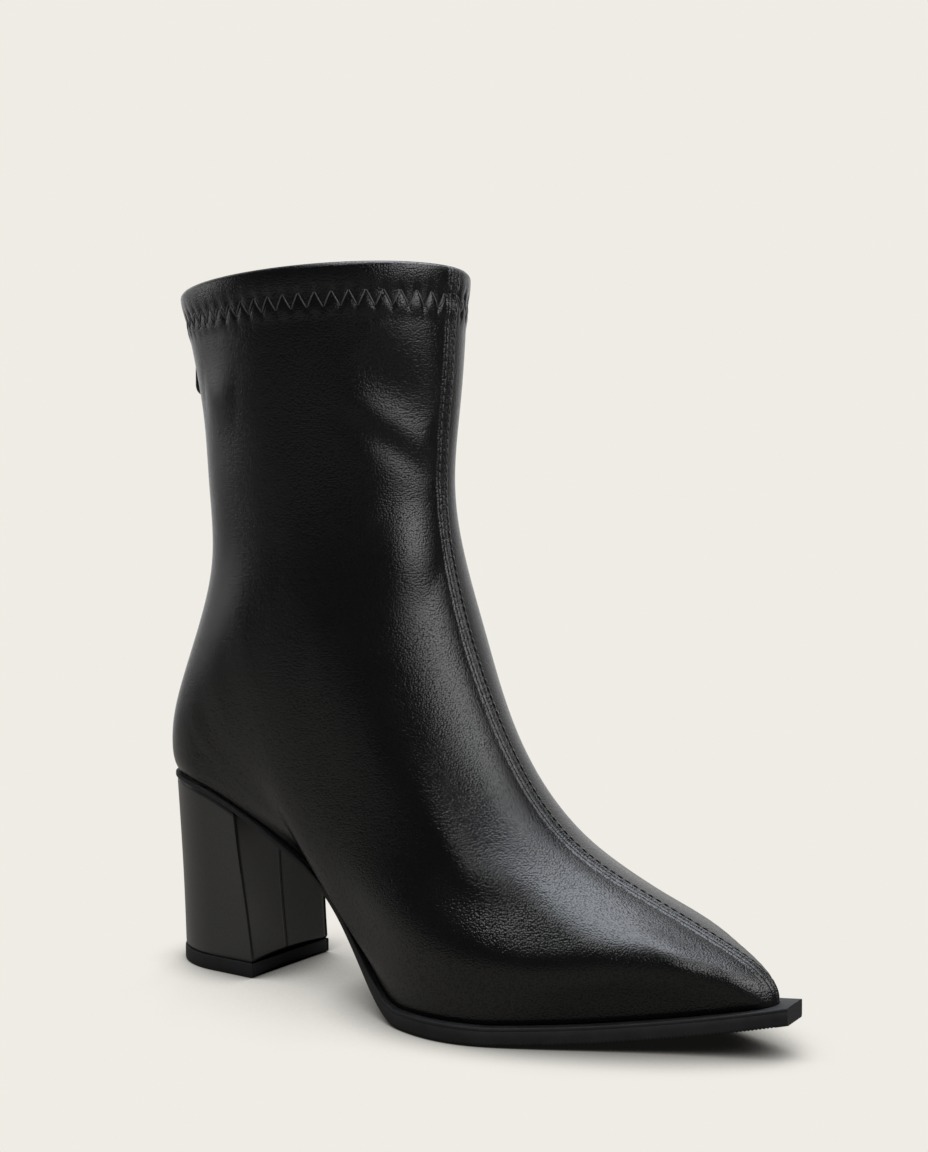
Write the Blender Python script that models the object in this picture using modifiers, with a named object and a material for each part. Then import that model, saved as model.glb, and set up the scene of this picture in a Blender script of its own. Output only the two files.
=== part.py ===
"""A right ankle boot with a block heel, a snipped pointed toe and a zip up its back.

Tables are in millimetres: x runs from the back of the heel seat to the toe, y from the middle line with the
outer side of the foot at -Y, and z up from the floor. Objects are in metres, round the middle of the boot.
"""

import math

import bmesh
import bpy
import numpy as np

MM = 0.001
NAME = "block_heel_ankle_boot"

# Driving sizes
MIDDLE_X = 128.7
GAP = 0.3
WALL = 1.8
UPPER_BACK_X = 0.7
UPPER_TIP_X = 254.4
SOLE_BACK_X = 0.4
SOLE_TIP_X = 258.9
SEAT_ROUND = 29.0
TIP_ROUND = 5.0
LIP_HEIGHT = 1.2

# The collar's turned hem, the raised front seam and the slot for the zip
HEM_DEPTH = 15.5
HEM_STEP = 0.8
SEAM_HALF = 3.2
SEAM_EDGE = 0.7
SEAM_HEIGHT = 0.6
SLOT_HALF = 4.5
SLOT_END_Z = 118.0

# How finely the curved pieces are divided
SIDE_COLUMNS = 32
WALL_ROWS = 22
ROUND_SHARE = 0.4
FINE_STEPS = 600
MERGE = 0.00001

# The sole: reach of its outer and inner edge, height of its underside, its thickness, and how far the
# upper stands in from its edge. A height below the floor is cut flat, which makes the forefoot's flat spot.
SOLE_COLUMNS = ("x", "outer", "inner", "bottom", "thick", "margin")
SOLE_TABLE = (
    (0.0, 28.2, 28.2, 74.6, 1.6, 0.3),
    (22.0, 28.8, 28.8, 72.7, 1.6, 0.3),
    (48.0, 28.0, 27.2, 63.1, 1.8, 0.4),
    (72.0, 26.8, 24.0, 50.0, 2.4, 0.6),
    (95.0, 28.0, 22.8, 32.6, 3.4, 0.8),
    (113.0, 33.0, 25.8, 11.8, 5.0, 1.1),
    (127.0, 39.6, 29.8, 1.6, 6.0, 1.3),
    (146.0, 45.0, 34.4, -0.3, 6.4, 1.4),
    (162.0, 43.8, 36.8, -0.2, 6.4, 1.5),
    (178.0, 37.4, 36.9, 0.5, 6.3, 1.6),
    (200.0, 26.1, 33.2, 2.1, 6.2, 1.8),
    (225.0, 13.6, 25.4, 5.2, 6.1, 1.9),
    (250.0, 2.8, 16.3, 9.7, 6.0, 1.9),
    (258.9, -0.4, 12.9, 11.7, 6.0, 1.9),
)
# The sole's edge from top to bottom: share of the thickness, and how far the edge is drawn in there
SOLE_EDGE = ((0.0, 0.4), (0.1, 0.0), (0.85, 0.0), (1.0, 0.5))
SOLE_TIP_STATIONS = 3

# The upper's sections from the collar down. Each runs from a point on the back line to one on the front
# seam. dip is its share of the sole's arch, lean its share of the sole's sideways curve, and follow its
# share of the sole's width. The round columns say how far from its ends it is rounded: at the back, at the
# front of the outer side, and at the front of the inner side, which is fuller by gain. The columns after
# those are its half width at STATIONS, which are shares of the way from back to front.
STATIONS = (0.1, 0.3, 0.5, 0.7, 0.85, 1.0)
RING_COLUMNS = (
    "back_x", "back_z", "front_x", "front_z", "dip", "lean", "follow", "back_round", "front_round",
    "inner_round", "gain",
)
RING_TABLE = (
    (7.8, 262.9, 129.0, 267.8, 0.0, 0.0, 0.0, 60.6, 60.6, 60.6, 0.0, 44.6, 44.6, 44.6, 44.6, 44.6, 44.6),
    (11.6, 246.0, 128.2, 250.0, 0.0, 0.0, 0.0, 58.0, 58.0, 58.0, 0.0, 43.0, 43.0, 43.0, 43.0, 43.0, 43.0),
    (16.8, 219.0, 126.5, 221.0, 0.0, 0.0, 0.0, 54.8, 54.8, 54.8, 0.0, 39.6, 39.6, 39.6, 39.6, 39.6, 39.6),
    (18.6, 190.0, 124.4, 190.0, 0.0, 0.0, 0.0, 52.8, 52.8, 51.0, 0.0, 36.4, 36.4, 36.4, 36.4, 36.4, 36.4),
    (19.3, 164.0, 126.8, 163.0, 0.02, 0.0, 0.0, 52.0, 50.0, 40.0, 0.1, 34.2, 34.2, 34.4, 34.6, 34.8, 34.8),
    (14.5, 141.0, 136.3, 130.0, 0.1, 0.0, 0.0, 46.0, 45.0, 32.0, 0.15, 33.0, 34.0, 35.0, 35.0, 34.0, 32.0),
    (6.8, 120.0, 153.2, 93.4, 0.32, 0.1, 0.0, 38.0, 38.0, 29.0, 0.09, 31.6, 32.8, 34.4, 34.2, 32.0, 28.0),
    (0.6, 102.0, 180.4, 61.0, 0.62, 0.4, 0.1, 33.0, 30.0, 21.0, 0.12, 30.4, 31.2, 34.0, 36.0, 32.0, 24.0),
    (-1.3, 91.0, 211.2, 44.0, 0.84, 0.8, 0.35, 31.0, 22.0, 16.0, 0.12, 29.8, 30.5, 34.0, 40.0, 33.0, 19.0),
    (-1.1, 83.0, 238.7, 31.0, 0.95, 0.95, 0.65, 30.0, 13.0, 11.0, 0.1, 29.4, 30.0, 36.0, 41.0, 32.0, 18.0),
    (-0.2, 79.0, 250.0, 23.6, 0.985, 1.0, 0.9, 29.0, 8.0, 7.5, 0.06, 29.0, 29.0, 35.0, 41.0, 28.0, 14.0),
)

# The heel's sections from the floor up to the seat: ends of its middle line, half width, how far its back is
# rounded, and how deep its breast is hollowed
LIFT_THICK = 5.4
LIFT_EDGE = 0.3
HEEL_COLUMNS = ("level", "back", "breast", "half", "round", "hollow")
HEEL_TABLE = (
    (0.0, 2.6, 51.4, 23.1, 28.0, 2.0),
    (0.35, 2.0, 49.2, 24.2, 28.5, 2.2),
    (0.75, 1.4, 47.2, 26.6, 29.0, 2.0),
    (1.0, 1.0, 46.4, 28.2, 29.0, 1.6),
)
HEEL_LEVELS = 8
HEEL_STATIONS = 12
HEEL_EVEN = 0.35
BREAST_POINTS = 5

INSOLE_THICK = 2.2
INSOLE_CLEAR = 0.9
INSOLE_FIRST_STEP = 1.0
INSOLE_TIP_X = 244.0

# The zip: its tape and coil in section, then the slider and its pull tab
TAPE_HALF = 4.1
TAPE_BACK = -1.7
TAPE_FACE = -0.7
COIL_FOOT = 2.3
COIL_TOP = 1.5
COIL_CREST = 0.5
TAPE_TOP_DEPTH = 1.0
TAPE_END_CLEAR = 1.2
TAPE_ROWS = 18
SLIDER_DEPTH = 8.5
SLIDER_SIZE = (1.6, 7.6, 11.0)
SLIDER_EDGE = 0.4
SLIDER_EDGE_STEPS = 2
CROWN_SIZE = (4.0, 2.2, 8.4)
CROWN_SUNK = 0.2
WINDOW_SIZE = (2.8, 4.0, 5.0)
TAB_LENGTH = 26.5
TAB_HALF = 4.2
TAB_THICK = 1.5
TAB_WINDOW_HALF = 1.7
TAB_WINDOW_END = 5.6
TAB_TOP_HALF = 3.2
TAB_CORNER_STEPS = 6

# Finish of each piece: its name, plain colour, roughness and metal share
LOOKS = {
    "upper": ("black_leather", (0.012, 0.012, 0.013), 0.38, 0.0),
    "outsole": ("sole_rubber", (0.018, 0.018, 0.019), 0.7, 0.0),
    "insole": ("insole_board", (0.03, 0.028, 0.027), 0.8, 0.0),
    "heel_block": ("heel_wrap", (0.013, 0.013, 0.014), 0.42, 0.0),
    "heel_top_lift": ("lift_rubber", (0.015, 0.015, 0.016), 0.8, 0.0),
    "zip_tape": ("zip_fabric", (0.012, 0.012, 0.013), 0.75, 0.0),
    "zip_slider": ("slider_metal", (0.03, 0.03, 0.032), 0.35, 1.0),
    "zip_pull_tab": ("tab_metal", (0.03, 0.03, 0.032), 0.35, 1.0),
}


def columns(names, rows):
    """A table's columns by name, with any columns past the names as one block called rest."""
    table = np.array(rows, float)
    named = {name: table[:, place] for place, name in enumerate(names)}
    named["rest"] = table[:, len(names):]
    return named


def spline(stations, values, at):
    """Natural cubic spline through the values (rows of a table, of any width), read at the given stations."""
    stations = np.asarray(stations, float)
    values = np.asarray(values, float)
    count = len(stations)
    flat = values.reshape(count, -1)
    step = np.diff(stations)
    slope = np.diff(flat, axis=0) / step[:, None]
    matrix = np.eye(count)
    right = np.zeros_like(flat)
    for row in range(1, count - 1):
        matrix[row, row - 1:row + 2] = (step[row - 1], 2 * (step[row - 1] + step[row]), step[row])
        right[row] = 6 * (slope[row] - slope[row - 1])
    bend = np.linalg.solve(matrix, right)
    at = np.clip(np.asarray(at, float), stations[0], stations[-1])
    left = np.clip(np.searchsorted(stations, at, side="right") - 1, 0, count - 2)
    width = step[left][:, None]
    after = (at - stations[left])[:, None] / width
    before = 1 - after
    curve = before * flat[left] + after * flat[left + 1]
    curve += ((before**3 - before) * bend[left] + (after**3 - after) * bend[left + 1]) * width**2 / 6
    return curve.reshape((len(at),) + values.shape[1:])


def round_end(distance, reach):
    """Share of the full half width at a distance from a rounded end."""
    return np.sqrt(1 - np.clip(1 - distance / reach, 0, 1) ** 2)


SOLE = columns(SOLE_COLUMNS, SOLE_TABLE)
RINGS = columns(RING_COLUMNS, RING_TABLE)
HEEL = columns(HEEL_COLUMNS, HEEL_TABLE)


def sole(name, x):
    """One column of the sole's table at x, with the underside cut flat at the floor."""
    value = spline(SOLE["x"], SOLE[name], x)
    return np.maximum(value, 0) if name == "bottom" else value


def sole_top(x):
    return sole("bottom", x) + sole("thick", x)


def sole_middle(x):
    return (sole("inner", x) - sole("outer", x)) / 2


def sole_half(x):
    return (sole("inner", x) + sole("outer", x)) / 2


def feather_half(x):
    return sole_half(x) - sole("margin", x)


def feather_line(share):
    """The upper's lower edge: x, reach to the outer side, reach to the inner side, and z."""
    x = UPPER_BACK_X + share * (UPPER_TIP_X - UPPER_BACK_X)
    ends = round_end(x - UPPER_BACK_X, SEAT_ROUND) * round_end(UPPER_TIP_X - x, TIP_ROUND)
    half = feather_half(x) * ends
    middle = sole_middle(x)
    return x, half - middle, half + middle, sole_top(x) + GAP


def table_ring(row, share):
    """One section of the ring table: x, reach to the outer side, reach to the inner side, and z."""
    if row == len(RING_TABLE):
        return feather_line(share)
    ring = {name: RINGS[name][row] for name in RING_COLUMNS}
    length = math.hypot(ring["front_x"] - ring["back_x"], ring["front_z"] - ring["back_z"])
    x = ring["back_x"] + share * (ring["front_x"] - ring["back_x"])
    own = spline(STATIONS, RINGS["rest"][row], share)
    half = ring["follow"] * feather_half(x) + (1 - ring["follow"]) * own
    half = half * round_end(share * length, ring["back_round"])
    outer = half * round_end((1 - share) * length, ring["front_round"])
    inner = half * round_end((1 - share) * length, ring["inner_round"]) * (1 + ring["gain"] * share**2)
    middle = ring["lean"] * sole_middle(x)
    below = feather_line(share)[3]
    arch = below - (below[0] + share * (below[-1] - below[0]))
    z = ring["back_z"] + share * (ring["front_z"] - ring["back_z"]) + ring["dip"] * arch
    return x, outer - middle, inner + middle, z


def ring_shares(row):
    """Where a section's columns stand: at the zip's slot, spread along the side, and at the seam's edges."""
    fine = (1 - np.cos(np.linspace(0, math.pi, FINE_STEPS))) / 2
    x, outer, inner, z = table_ring(row, fine)
    steps = np.sqrt(np.diff(x) ** 2 + np.diff(outer) ** 2 + np.diff(z) ** 2)
    run = np.concatenate(([0], np.cumsum(steps)))
    even = np.linspace(0, 1, SIDE_COLUMNS + 1)
    spread = (1 - ROUND_SHARE) * even + ROUND_SHARE * (1 - np.cos(math.pi * even)) / 2
    seam_foot = run[-1] - SEAM_HALF - SEAM_EDGE
    side = SLOT_HALF + spread * (seam_foot - SLOT_HALF)
    places = np.concatenate(([0], side, [run[-1] - SEAM_HALF, run[-1]]))
    return np.interp(places, run, fine)


def both_sides(x, outer, inner, z):
    """A closed row of points: from the back along the outer side, then back along the inner side."""
    out = np.stack((x, -outer, z), axis=1)
    back = np.stack((x, inner, z), axis=1)[-2:0:-1]
    return np.concatenate((out, back))


def wall_rows():
    """The upper's outer face as rows of points, with how far each row lies from the collar."""
    sections = []
    for row in range(len(RING_TABLE) + 1):
        sections.append(both_sides(*table_ring(row, ring_shares(row))))
    sections = np.array(sections)
    between = np.linalg.norm(np.diff(sections, axis=0), axis=2).mean(axis=1)
    depth = np.concatenate(([0], np.cumsum(between)))
    hem = (0, HEM_DEPTH / 3, 2 * HEM_DEPTH / 3, HEM_DEPTH - HEM_STEP, HEM_DEPTH)
    rest = np.linspace(HEM_DEPTH, depth[-1], WALL_ROWS + 1)[1:]
    at = np.concatenate((hem, rest))
    return spline(depth, sections, at), at


def outward(points):
    """Unit normals of a grid of points whose rows are closed."""
    along = np.roll(points, -1, axis=1) - np.roll(points, 1, axis=1)
    down = np.gradient(points, axis=0)
    normal = np.cross(down, along)
    return normal / np.linalg.norm(normal, axis=2, keepdims=True)


def wall_points():
    """The upper's outer face with its hem and seam raised, and a short upright lip at the feather line."""
    points, depth = wall_rows()
    front = points.shape[1] // 2
    lift = np.zeros(points.shape[:2])
    lift[:, front - 1:front + 2] += SEAM_HEIGHT
    lift[depth < HEM_DEPTH - HEM_STEP / 2] += HEM_STEP
    lift[-1] = 0
    points = points + outward(points) * lift[:, :, None]
    lip = points[-1:].copy()
    points[-1, :, 2] += LIP_HEIGHT
    return np.concatenate((points, lip))


def look(name):
    """A plain material for the piece of this name."""
    finish, colour, roughness, metallic = LOOKS[name]
    made = bpy.data.materials.new(finish)
    made.use_nodes = True
    shader = made.node_tree.nodes["Principled BSDF"]
    shader.inputs["Base Color"].default_value = (*colour, 1)
    shader.inputs["Roughness"].default_value = roughness
    shader.inputs["Metallic"].default_value = metallic
    return made


def new_object(name, shape, home):
    """The piece of this name in its collection, with its own material."""
    made = bpy.data.objects.new(name, shape)
    home.objects.link(made)
    made.data.materials.append(look(name))
    return made


def mesh_of(name, points, faces):
    """A mesh from points in the tables' millimetres, with its faces turned outward."""
    mesh = bpy.data.meshes.new(name)
    place = (np.asarray(points).reshape(-1, 3) - (MIDDLE_X, 0, 0)) * MM
    mesh.from_pydata(place.tolist(), [], faces)
    shape = bmesh.new()
    shape.from_mesh(mesh)
    bmesh.ops.remove_doubles(shape, verts=shape.verts, dist=MERGE)
    loose = [vert for vert in shape.verts if not vert.link_faces]
    bmesh.ops.delete(shape, geom=loose, context="VERTS")
    bmesh.ops.recalc_face_normals(shape, faces=shape.faces)
    shape.to_mesh(mesh)
    shape.free()
    return mesh


def tube_faces(rows, count):
    """Faces between neighbouring closed rows of points, each with its row and column."""
    for row in range(rows - 1):
        for column in range(count):
            after = (column + 1) % count
            low = (row + 1) * count
            yield row, column, (row * count + column, row * count + after, low + after, low + column)


def upper(home):
    """The hollow upper, open at its collar, underneath and along the zip's slot."""
    points = wall_points()
    rows, count = points.shape[:2]
    back_z = points[:, 0, 2]
    in_slot = back_z[:-1] > SLOT_END_Z
    faces = [
        face
        for row, column, face in tube_faces(rows, count)
        if not (in_slot[row] and column in (0, count - 1))
    ]
    made = new_object("upper", mesh_of("upper", points, faces), home)
    wall = made.modifiers.new("wall", "SOLIDIFY")
    wall.thickness = WALL * MM
    wall.offset = -1
    wall.use_even_offset = True


def ladder_faces(layers, stations, front):
    """Faces of a stack of closed rows whose two sides stand at the same stations, with both ends capped.

    front is the number of points between the two sides at the front of each row."""
    count = 2 * stations + front
    faces = [face for row, column, face in tube_faces(layers, count)]
    for layer in (0, layers - 1):
        start = layer * count
        for step in range(stations - 2):
            inner = count - 1 - step
            faces.append((start + step, start + step + 1, start + inner - 1, start + inner))
        faces.append(tuple(range(start + stations - 2, start + stations + front + 2)))
    return faces


def ladder_row(x, outer, inner, z, front=()):
    """A closed row with both sides at the same x, and any points of its front between them."""
    out = np.stack((x, -outer, z), axis=1)
    back = np.stack((x, inner, z), axis=1)[::-1]
    return np.concatenate((out, front, back)) if len(front) else np.concatenate((out, back))


def outsole(home):
    """The sole from the heel seat down the waist to the snipped tip."""
    feather_x = feather_line(ring_shares(len(RING_TABLE)))[0]
    tip = np.linspace(UPPER_TIP_X, SOLE_TIP_X, SOLE_TIP_STATIONS)
    x = np.concatenate(([SOLE_BACK_X], feather_x[1:-1], tip))
    half = sole_half(x) * round_end(x - SOLE_BACK_X, SEAT_ROUND)
    middle = sole_middle(x)
    top = sole_top(x)
    thick = sole("thick", x)
    rows = []
    for level, inset in SOLE_EDGE:
        reach = np.maximum(half - inset, 0)
        rows.append(ladder_row(x, reach - middle, reach + middle, top - level * thick))
    faces = ladder_faces(len(rows), len(x), 0)
    new_object("outsole", mesh_of("outsole", rows, faces), home)


def insole(home):
    """The board inside the upper, which lies on the sole."""
    inset = WALL + INSOLE_CLEAR
    x = feather_line(ring_shares(len(RING_TABLE)))[0]
    back = UPPER_BACK_X + inset
    between = x[(x > back + INSOLE_FIRST_STEP) & (x < INSOLE_TIP_X)]
    x = np.concatenate(([back], between, [INSOLE_TIP_X]))
    half = (feather_half(x) - inset) * round_end(x - back, SEAT_ROUND - inset)
    middle = sole_middle(x)
    under = sole_top(x) + GAP
    rows = [
        ladder_row(x, half - middle, half + middle, under + rise)
        for rise in (INSOLE_THICK, 0)
    ]
    faces = ladder_faces(len(rows), len(x), 0)
    new_object("insole", mesh_of("insole", rows, faces), home)


def heel_row(level, edge=0.0):
    """One section of the heel in plan: x, half width, and the points of its hollowed breast."""
    part = {name: spline(HEEL["level"], HEEL[name], [level])[0] for name in HEEL_COLUMNS}
    back = part["back"] - edge
    breast = part["breast"] + edge
    turn = np.linspace(0, 1, HEEL_STATIONS)
    spread = HEEL_EVEN * turn + (1 - HEEL_EVEN) * (1 - np.cos(math.pi / 2 * turn))
    x = back + (breast - back) * spread
    half = (part["half"] + edge) * round_end(x - back, part["round"])
    across = np.linspace(-1, 1, BREAST_POINTS + 2)[1:-1]
    hollow_x = breast - part["hollow"] * (1 - across**2)
    return x, half, hollow_x, across * half[-1]


def heel_layer(level, low, top, edge=0.0):
    """A row of the heel's points at a level between a flat underside and a top that may slope."""
    x, half, hollow_x, hollow_y = heel_row(level, edge)
    ceiling = top(x)
    slope = (ceiling[-1] - ceiling[-2]) / (x[-1] - x[-2])
    hollow_ceiling = ceiling[-1] + slope * (hollow_x - x[-1])
    z = low + level * (ceiling - low)
    hollow_z = low + level * (hollow_ceiling - low)
    front = np.stack((hollow_x, hollow_y, hollow_z), axis=1)
    return ladder_row(x, half, half, z, front)


def heel_block(home):
    """The block from the top lift up to the sloping seat."""
    rows = [
        heel_layer(level, LIFT_THICK + GAP, lambda x: sole("bottom", x) - GAP)
        for level in np.linspace(1, 0, HEEL_LEVELS)
    ]
    faces = ladder_faces(len(rows), HEEL_STATIONS, BREAST_POINTS)
    new_object("heel_block", mesh_of("heel_block", rows, faces), home)


def heel_top_lift(home):
    """The flat piece under the heel that meets the floor."""
    rows = []
    for height in (LIFT_THICK, 0.0):
        row = heel_layer(0.0, 0.0, np.zeros_like, LIFT_EDGE)
        row[:, 2] = height
        rows.append(row)
    faces = ladder_faces(len(rows), HEEL_STATIONS, BREAST_POINTS)
    new_object("heel_top_lift", mesh_of("heel_top_lift", rows, faces), home)


def back_line(depth):
    """Points of the upper's back line at depths along it from the collar, and their outward directions."""
    points = wall_rows()[0][:, 0]
    run = np.concatenate(([0], np.cumsum(np.linalg.norm(np.diff(points, axis=0), axis=1))))
    at = spline(run, points, depth)
    tangent = spline(run, np.gradient(points, run, axis=0), depth)
    out = np.stack((tangent[:, 2], np.zeros(len(at)), -tangent[:, 0]), axis=1)
    return at, out / np.linalg.norm(out, axis=1, keepdims=True)


def slot_end_depth():
    """How far down the back line the slot reaches, at the first row of points below its end height."""
    points = wall_rows()[0][:, 0]
    last = np.nonzero(points[:, 2] > SLOT_END_Z)[0][-1] + 1
    run = np.cumsum(np.linalg.norm(np.diff(points, axis=0), axis=1))
    return run[last - 1]


def zip_tape(home):
    """The tape and its coil as one strip that closes the slot."""
    half_section = (
        (TAPE_HALF, TAPE_BACK),
        (TAPE_HALF, TAPE_FACE),
        (COIL_FOOT, TAPE_FACE),
        (COIL_TOP, COIL_CREST),
    )
    section = np.array(half_section + tuple((-side, rise) for side, rise in half_section[::-1]))
    at, out = back_line(np.linspace(TAPE_TOP_DEPTH, slot_end_depth() - TAPE_END_CLEAR, TAPE_ROWS))
    rows = at[:, None] + out[:, None] * section[None, :, 1:]
    rows[:, :, 1] += section[:, 0]
    count = len(section)
    faces = [face for row, column, face in tube_faces(TAPE_ROWS, count)]
    faces.append(tuple(range(count)))
    faces.append(tuple(range((TAPE_ROWS - 1) * count, TAPE_ROWS * count)))
    new_object("zip_tape", mesh_of("zip_tape", rows, faces), home)


def slider_frame():
    """An empty on the coil's crest, turned so that its -X points straight out of the zip."""
    at, out = back_line([SLIDER_DEPTH])
    place = at[0] + out[0] * (COIL_CREST + GAP) - (MIDDLE_X, 0, 0)
    empty = bpy.data.objects.new("zip_slider_place", None)
    empty.location = place * MM
    empty.rotation_euler = (0, math.atan2(out[0][2], -out[0][0]), 0)
    return empty


def block(name, size, out, home, parent):
    """A box of this size in millimetres, with its middle this far out along its parent's X."""
    mesh = bpy.data.meshes.new(name)
    shape = bmesh.new()
    bmesh.ops.create_cube(shape, size=MM)
    bmesh.ops.scale(shape, vec=size, verts=shape.verts)
    shape.to_mesh(mesh)
    shape.free()
    made = bpy.data.objects.new(name, mesh)
    made.parent = parent
    made.location.x = out * MM
    home.objects.link(made)
    return made


def cut(made, other, operation):
    """Joins a helper to a piece or takes it away from it, and hides the helper."""
    change = made.modifiers.new(other.name, "BOOLEAN")
    change.operation = operation
    change.object = other
    change.solver = "EXACT"
    other.hide_render = True
    other.display_type = "WIRE"


def zip_slider(home, helpers, empty):
    """A plate over the coil with a crown that holds the pull tab."""
    plate_face = -SLIDER_SIZE[0]
    made = block("zip_slider", SLIDER_SIZE, plate_face / 2, home, empty)
    made.data.materials.append(look("zip_slider"))
    soft = made.modifiers.new("soft edges", "BEVEL")
    soft.width = SLIDER_EDGE * MM
    soft.segments = SLIDER_EDGE_STEPS
    crown_x = plate_face + CROWN_SUNK - CROWN_SIZE[0] / 2
    window_x = plate_face - WINDOW_SIZE[0] / 2
    crown = block("slider_crown", CROWN_SIZE, crown_x, helpers, empty)
    window = block("slider_window", WINDOW_SIZE, window_x, helpers, empty)
    cut(made, crown, "UNION")
    cut(made, window, "DIFFERENCE")


def tab_outline():
    """The pull tab's outer edge and its window, hanging down from the axis of its top bar."""
    low = TAB_HALF - TAB_LENGTH
    turn = np.linspace(math.pi, 2 * math.pi, 2 * TAB_CORNER_STEPS + 1)
    end = [(TAB_HALF * math.cos(angle), low + TAB_HALF * math.sin(angle)) for angle in turn]
    bar = TAB_THICK / 2
    edge = end + [(TAB_HALF, -TAB_WINDOW_END), (TAB_TOP_HALF, bar), (-TAB_TOP_HALF, bar)]
    edge.append((-TAB_HALF, -TAB_WINDOW_END))
    side = TAB_WINDOW_HALF
    window = [(-side, -bar), (side, -bar), (side, -TAB_WINDOW_END), (-side, -TAB_WINDOW_END)]
    return edge, window


def zip_pull_tab(home, empty):
    """A flat tab with a window, whose top bar turns in the slider's crown."""
    curve = bpy.data.curves.new("zip_pull_tab", "CURVE")
    curve.dimensions = "2D"
    curve.fill_mode = "BOTH"
    curve.extrude = TAB_THICK / 2 * MM
    for outline in tab_outline():
        line = curve.splines.new("POLY")
        line.points.add(len(outline) - 1)
        line.use_cyclic_u = True
        for point, (side, rise) in zip(line.points, outline):
            point.co = (side * MM, rise * MM, 0, 1)
    made = new_object("zip_pull_tab", curve, home)
    reach = SLIDER_SIZE[0] + WINDOW_SIZE[0] / 2
    turn = empty.rotation_euler.y
    made.location = empty.location
    made.location.x -= reach * math.cos(turn) * MM
    made.location.z += reach * math.sin(turn) * MM
    made.rotation_euler = (math.pi / 2, 0, math.pi / 2)
    joined = made.modifiers.new("caps joined", "WELD")
    joined.merge_threshold = MERGE


def main():
    for old in list(bpy.data.objects):
        bpy.data.objects.remove(old)
    parts = bpy.data.collections.new(NAME)
    helpers = bpy.data.collections.new("cutters")
    bpy.context.scene.collection.children.link(parts)
    bpy.context.scene.collection.children.link(helpers)
    for make in (upper, outsole, insole, heel_block, heel_top_lift, zip_tape):
        make(parts)
    empty = slider_frame()
    parts.objects.link(empty)
    zip_slider(parts, helpers, empty)
    zip_pull_tab(parts, empty)


main()
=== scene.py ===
"""Dresses the packed block heel ankle boot: leather, lining, stitching, sole, heel, zip and studio.

Sizes are in millimetres in the boot's own axes, as in the part's source: x runs from the back of the heel
seat to the toe, y across with the outer side of the foot at -Y, and z up from the floor. Meshes are made in
metres, in the packed frame.
"""

import math
from functools import lru_cache

import bmesh
import bpy
import numpy as np
from bpy.props import FloatProperty, FloatVectorProperty, IntProperty, PointerProperty
from mathutils import Matrix, Vector


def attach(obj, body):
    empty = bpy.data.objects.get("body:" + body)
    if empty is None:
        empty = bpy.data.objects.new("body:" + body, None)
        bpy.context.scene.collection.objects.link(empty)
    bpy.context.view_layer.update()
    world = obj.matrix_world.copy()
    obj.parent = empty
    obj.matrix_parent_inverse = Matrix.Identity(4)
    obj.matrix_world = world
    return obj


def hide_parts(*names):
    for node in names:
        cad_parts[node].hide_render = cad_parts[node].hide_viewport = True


bl_info = {
    "name": "Block Heel Ankle Boot Dressing",
    "version": (1, 0, 0),
    "blender": (4, 5, 0),
    "location": "View3D > Sidebar > Boot",
    "description": "Builds an ankle boot's leather, stitching, sole, heel and zip round its packed solids",
    "category": "Object",
}

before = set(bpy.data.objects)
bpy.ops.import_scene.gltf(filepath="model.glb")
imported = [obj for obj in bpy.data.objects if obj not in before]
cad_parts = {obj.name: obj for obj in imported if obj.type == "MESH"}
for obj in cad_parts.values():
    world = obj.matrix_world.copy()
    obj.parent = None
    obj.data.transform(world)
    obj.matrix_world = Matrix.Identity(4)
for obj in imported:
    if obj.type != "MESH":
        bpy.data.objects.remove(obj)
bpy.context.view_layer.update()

MM = 0.001
BOOT = "boot"
ZIP_PULL = "zip_pull"

# Driving sizes, as the solids have them
MIDDLE_X = 128.7
GAP = 0.3
UPPER_BACK_X = 0.7
UPPER_TIP_X = 254.4
SOLE_BACK_X = 0.4
SOLE_TIP_X = 258.9
SEAT_ROUND = 29.0
TIP_ROUND = 5.0
SEAM_HALF = 3.2
SEAM_EDGE = 0.7
SLOT_HALF = 4.5
SLOT_END_Z = 112.6
ROUND_SHARE = 0.4

SOLE_COLUMNS = ("x", "outer", "inner", "bottom", "thick", "margin")
SOLE_TABLE = (
    (0.0, 28.2, 28.2, 74.6, 1.6, 0.3),
    (22.0, 28.8, 28.8, 72.7, 1.6, 0.3),
    (48.0, 28.0, 27.2, 63.1, 1.8, 0.4),
    (72.0, 26.8, 24.0, 50.0, 2.4, 0.6),
    (95.0, 28.0, 22.8, 32.6, 3.4, 0.8),
    (113.0, 33.0, 25.8, 11.8, 5.0, 1.1),
    (127.0, 39.6, 29.8, 1.6, 6.0, 1.3),
    (146.0, 45.0, 34.4, -0.3, 6.4, 1.4),
    (162.0, 43.8, 36.8, -0.2, 6.4, 1.5),
    (178.0, 37.4, 36.9, 0.5, 6.3, 1.6),
    (200.0, 26.1, 33.2, 2.1, 6.2, 1.8),
    (225.0, 13.6, 25.4, 5.2, 6.1, 1.9),
    (250.0, 2.8, 16.3, 9.7, 6.0, 1.9),
    (258.9, -0.4, 12.9, 11.7, 6.0, 1.9),
)

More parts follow.
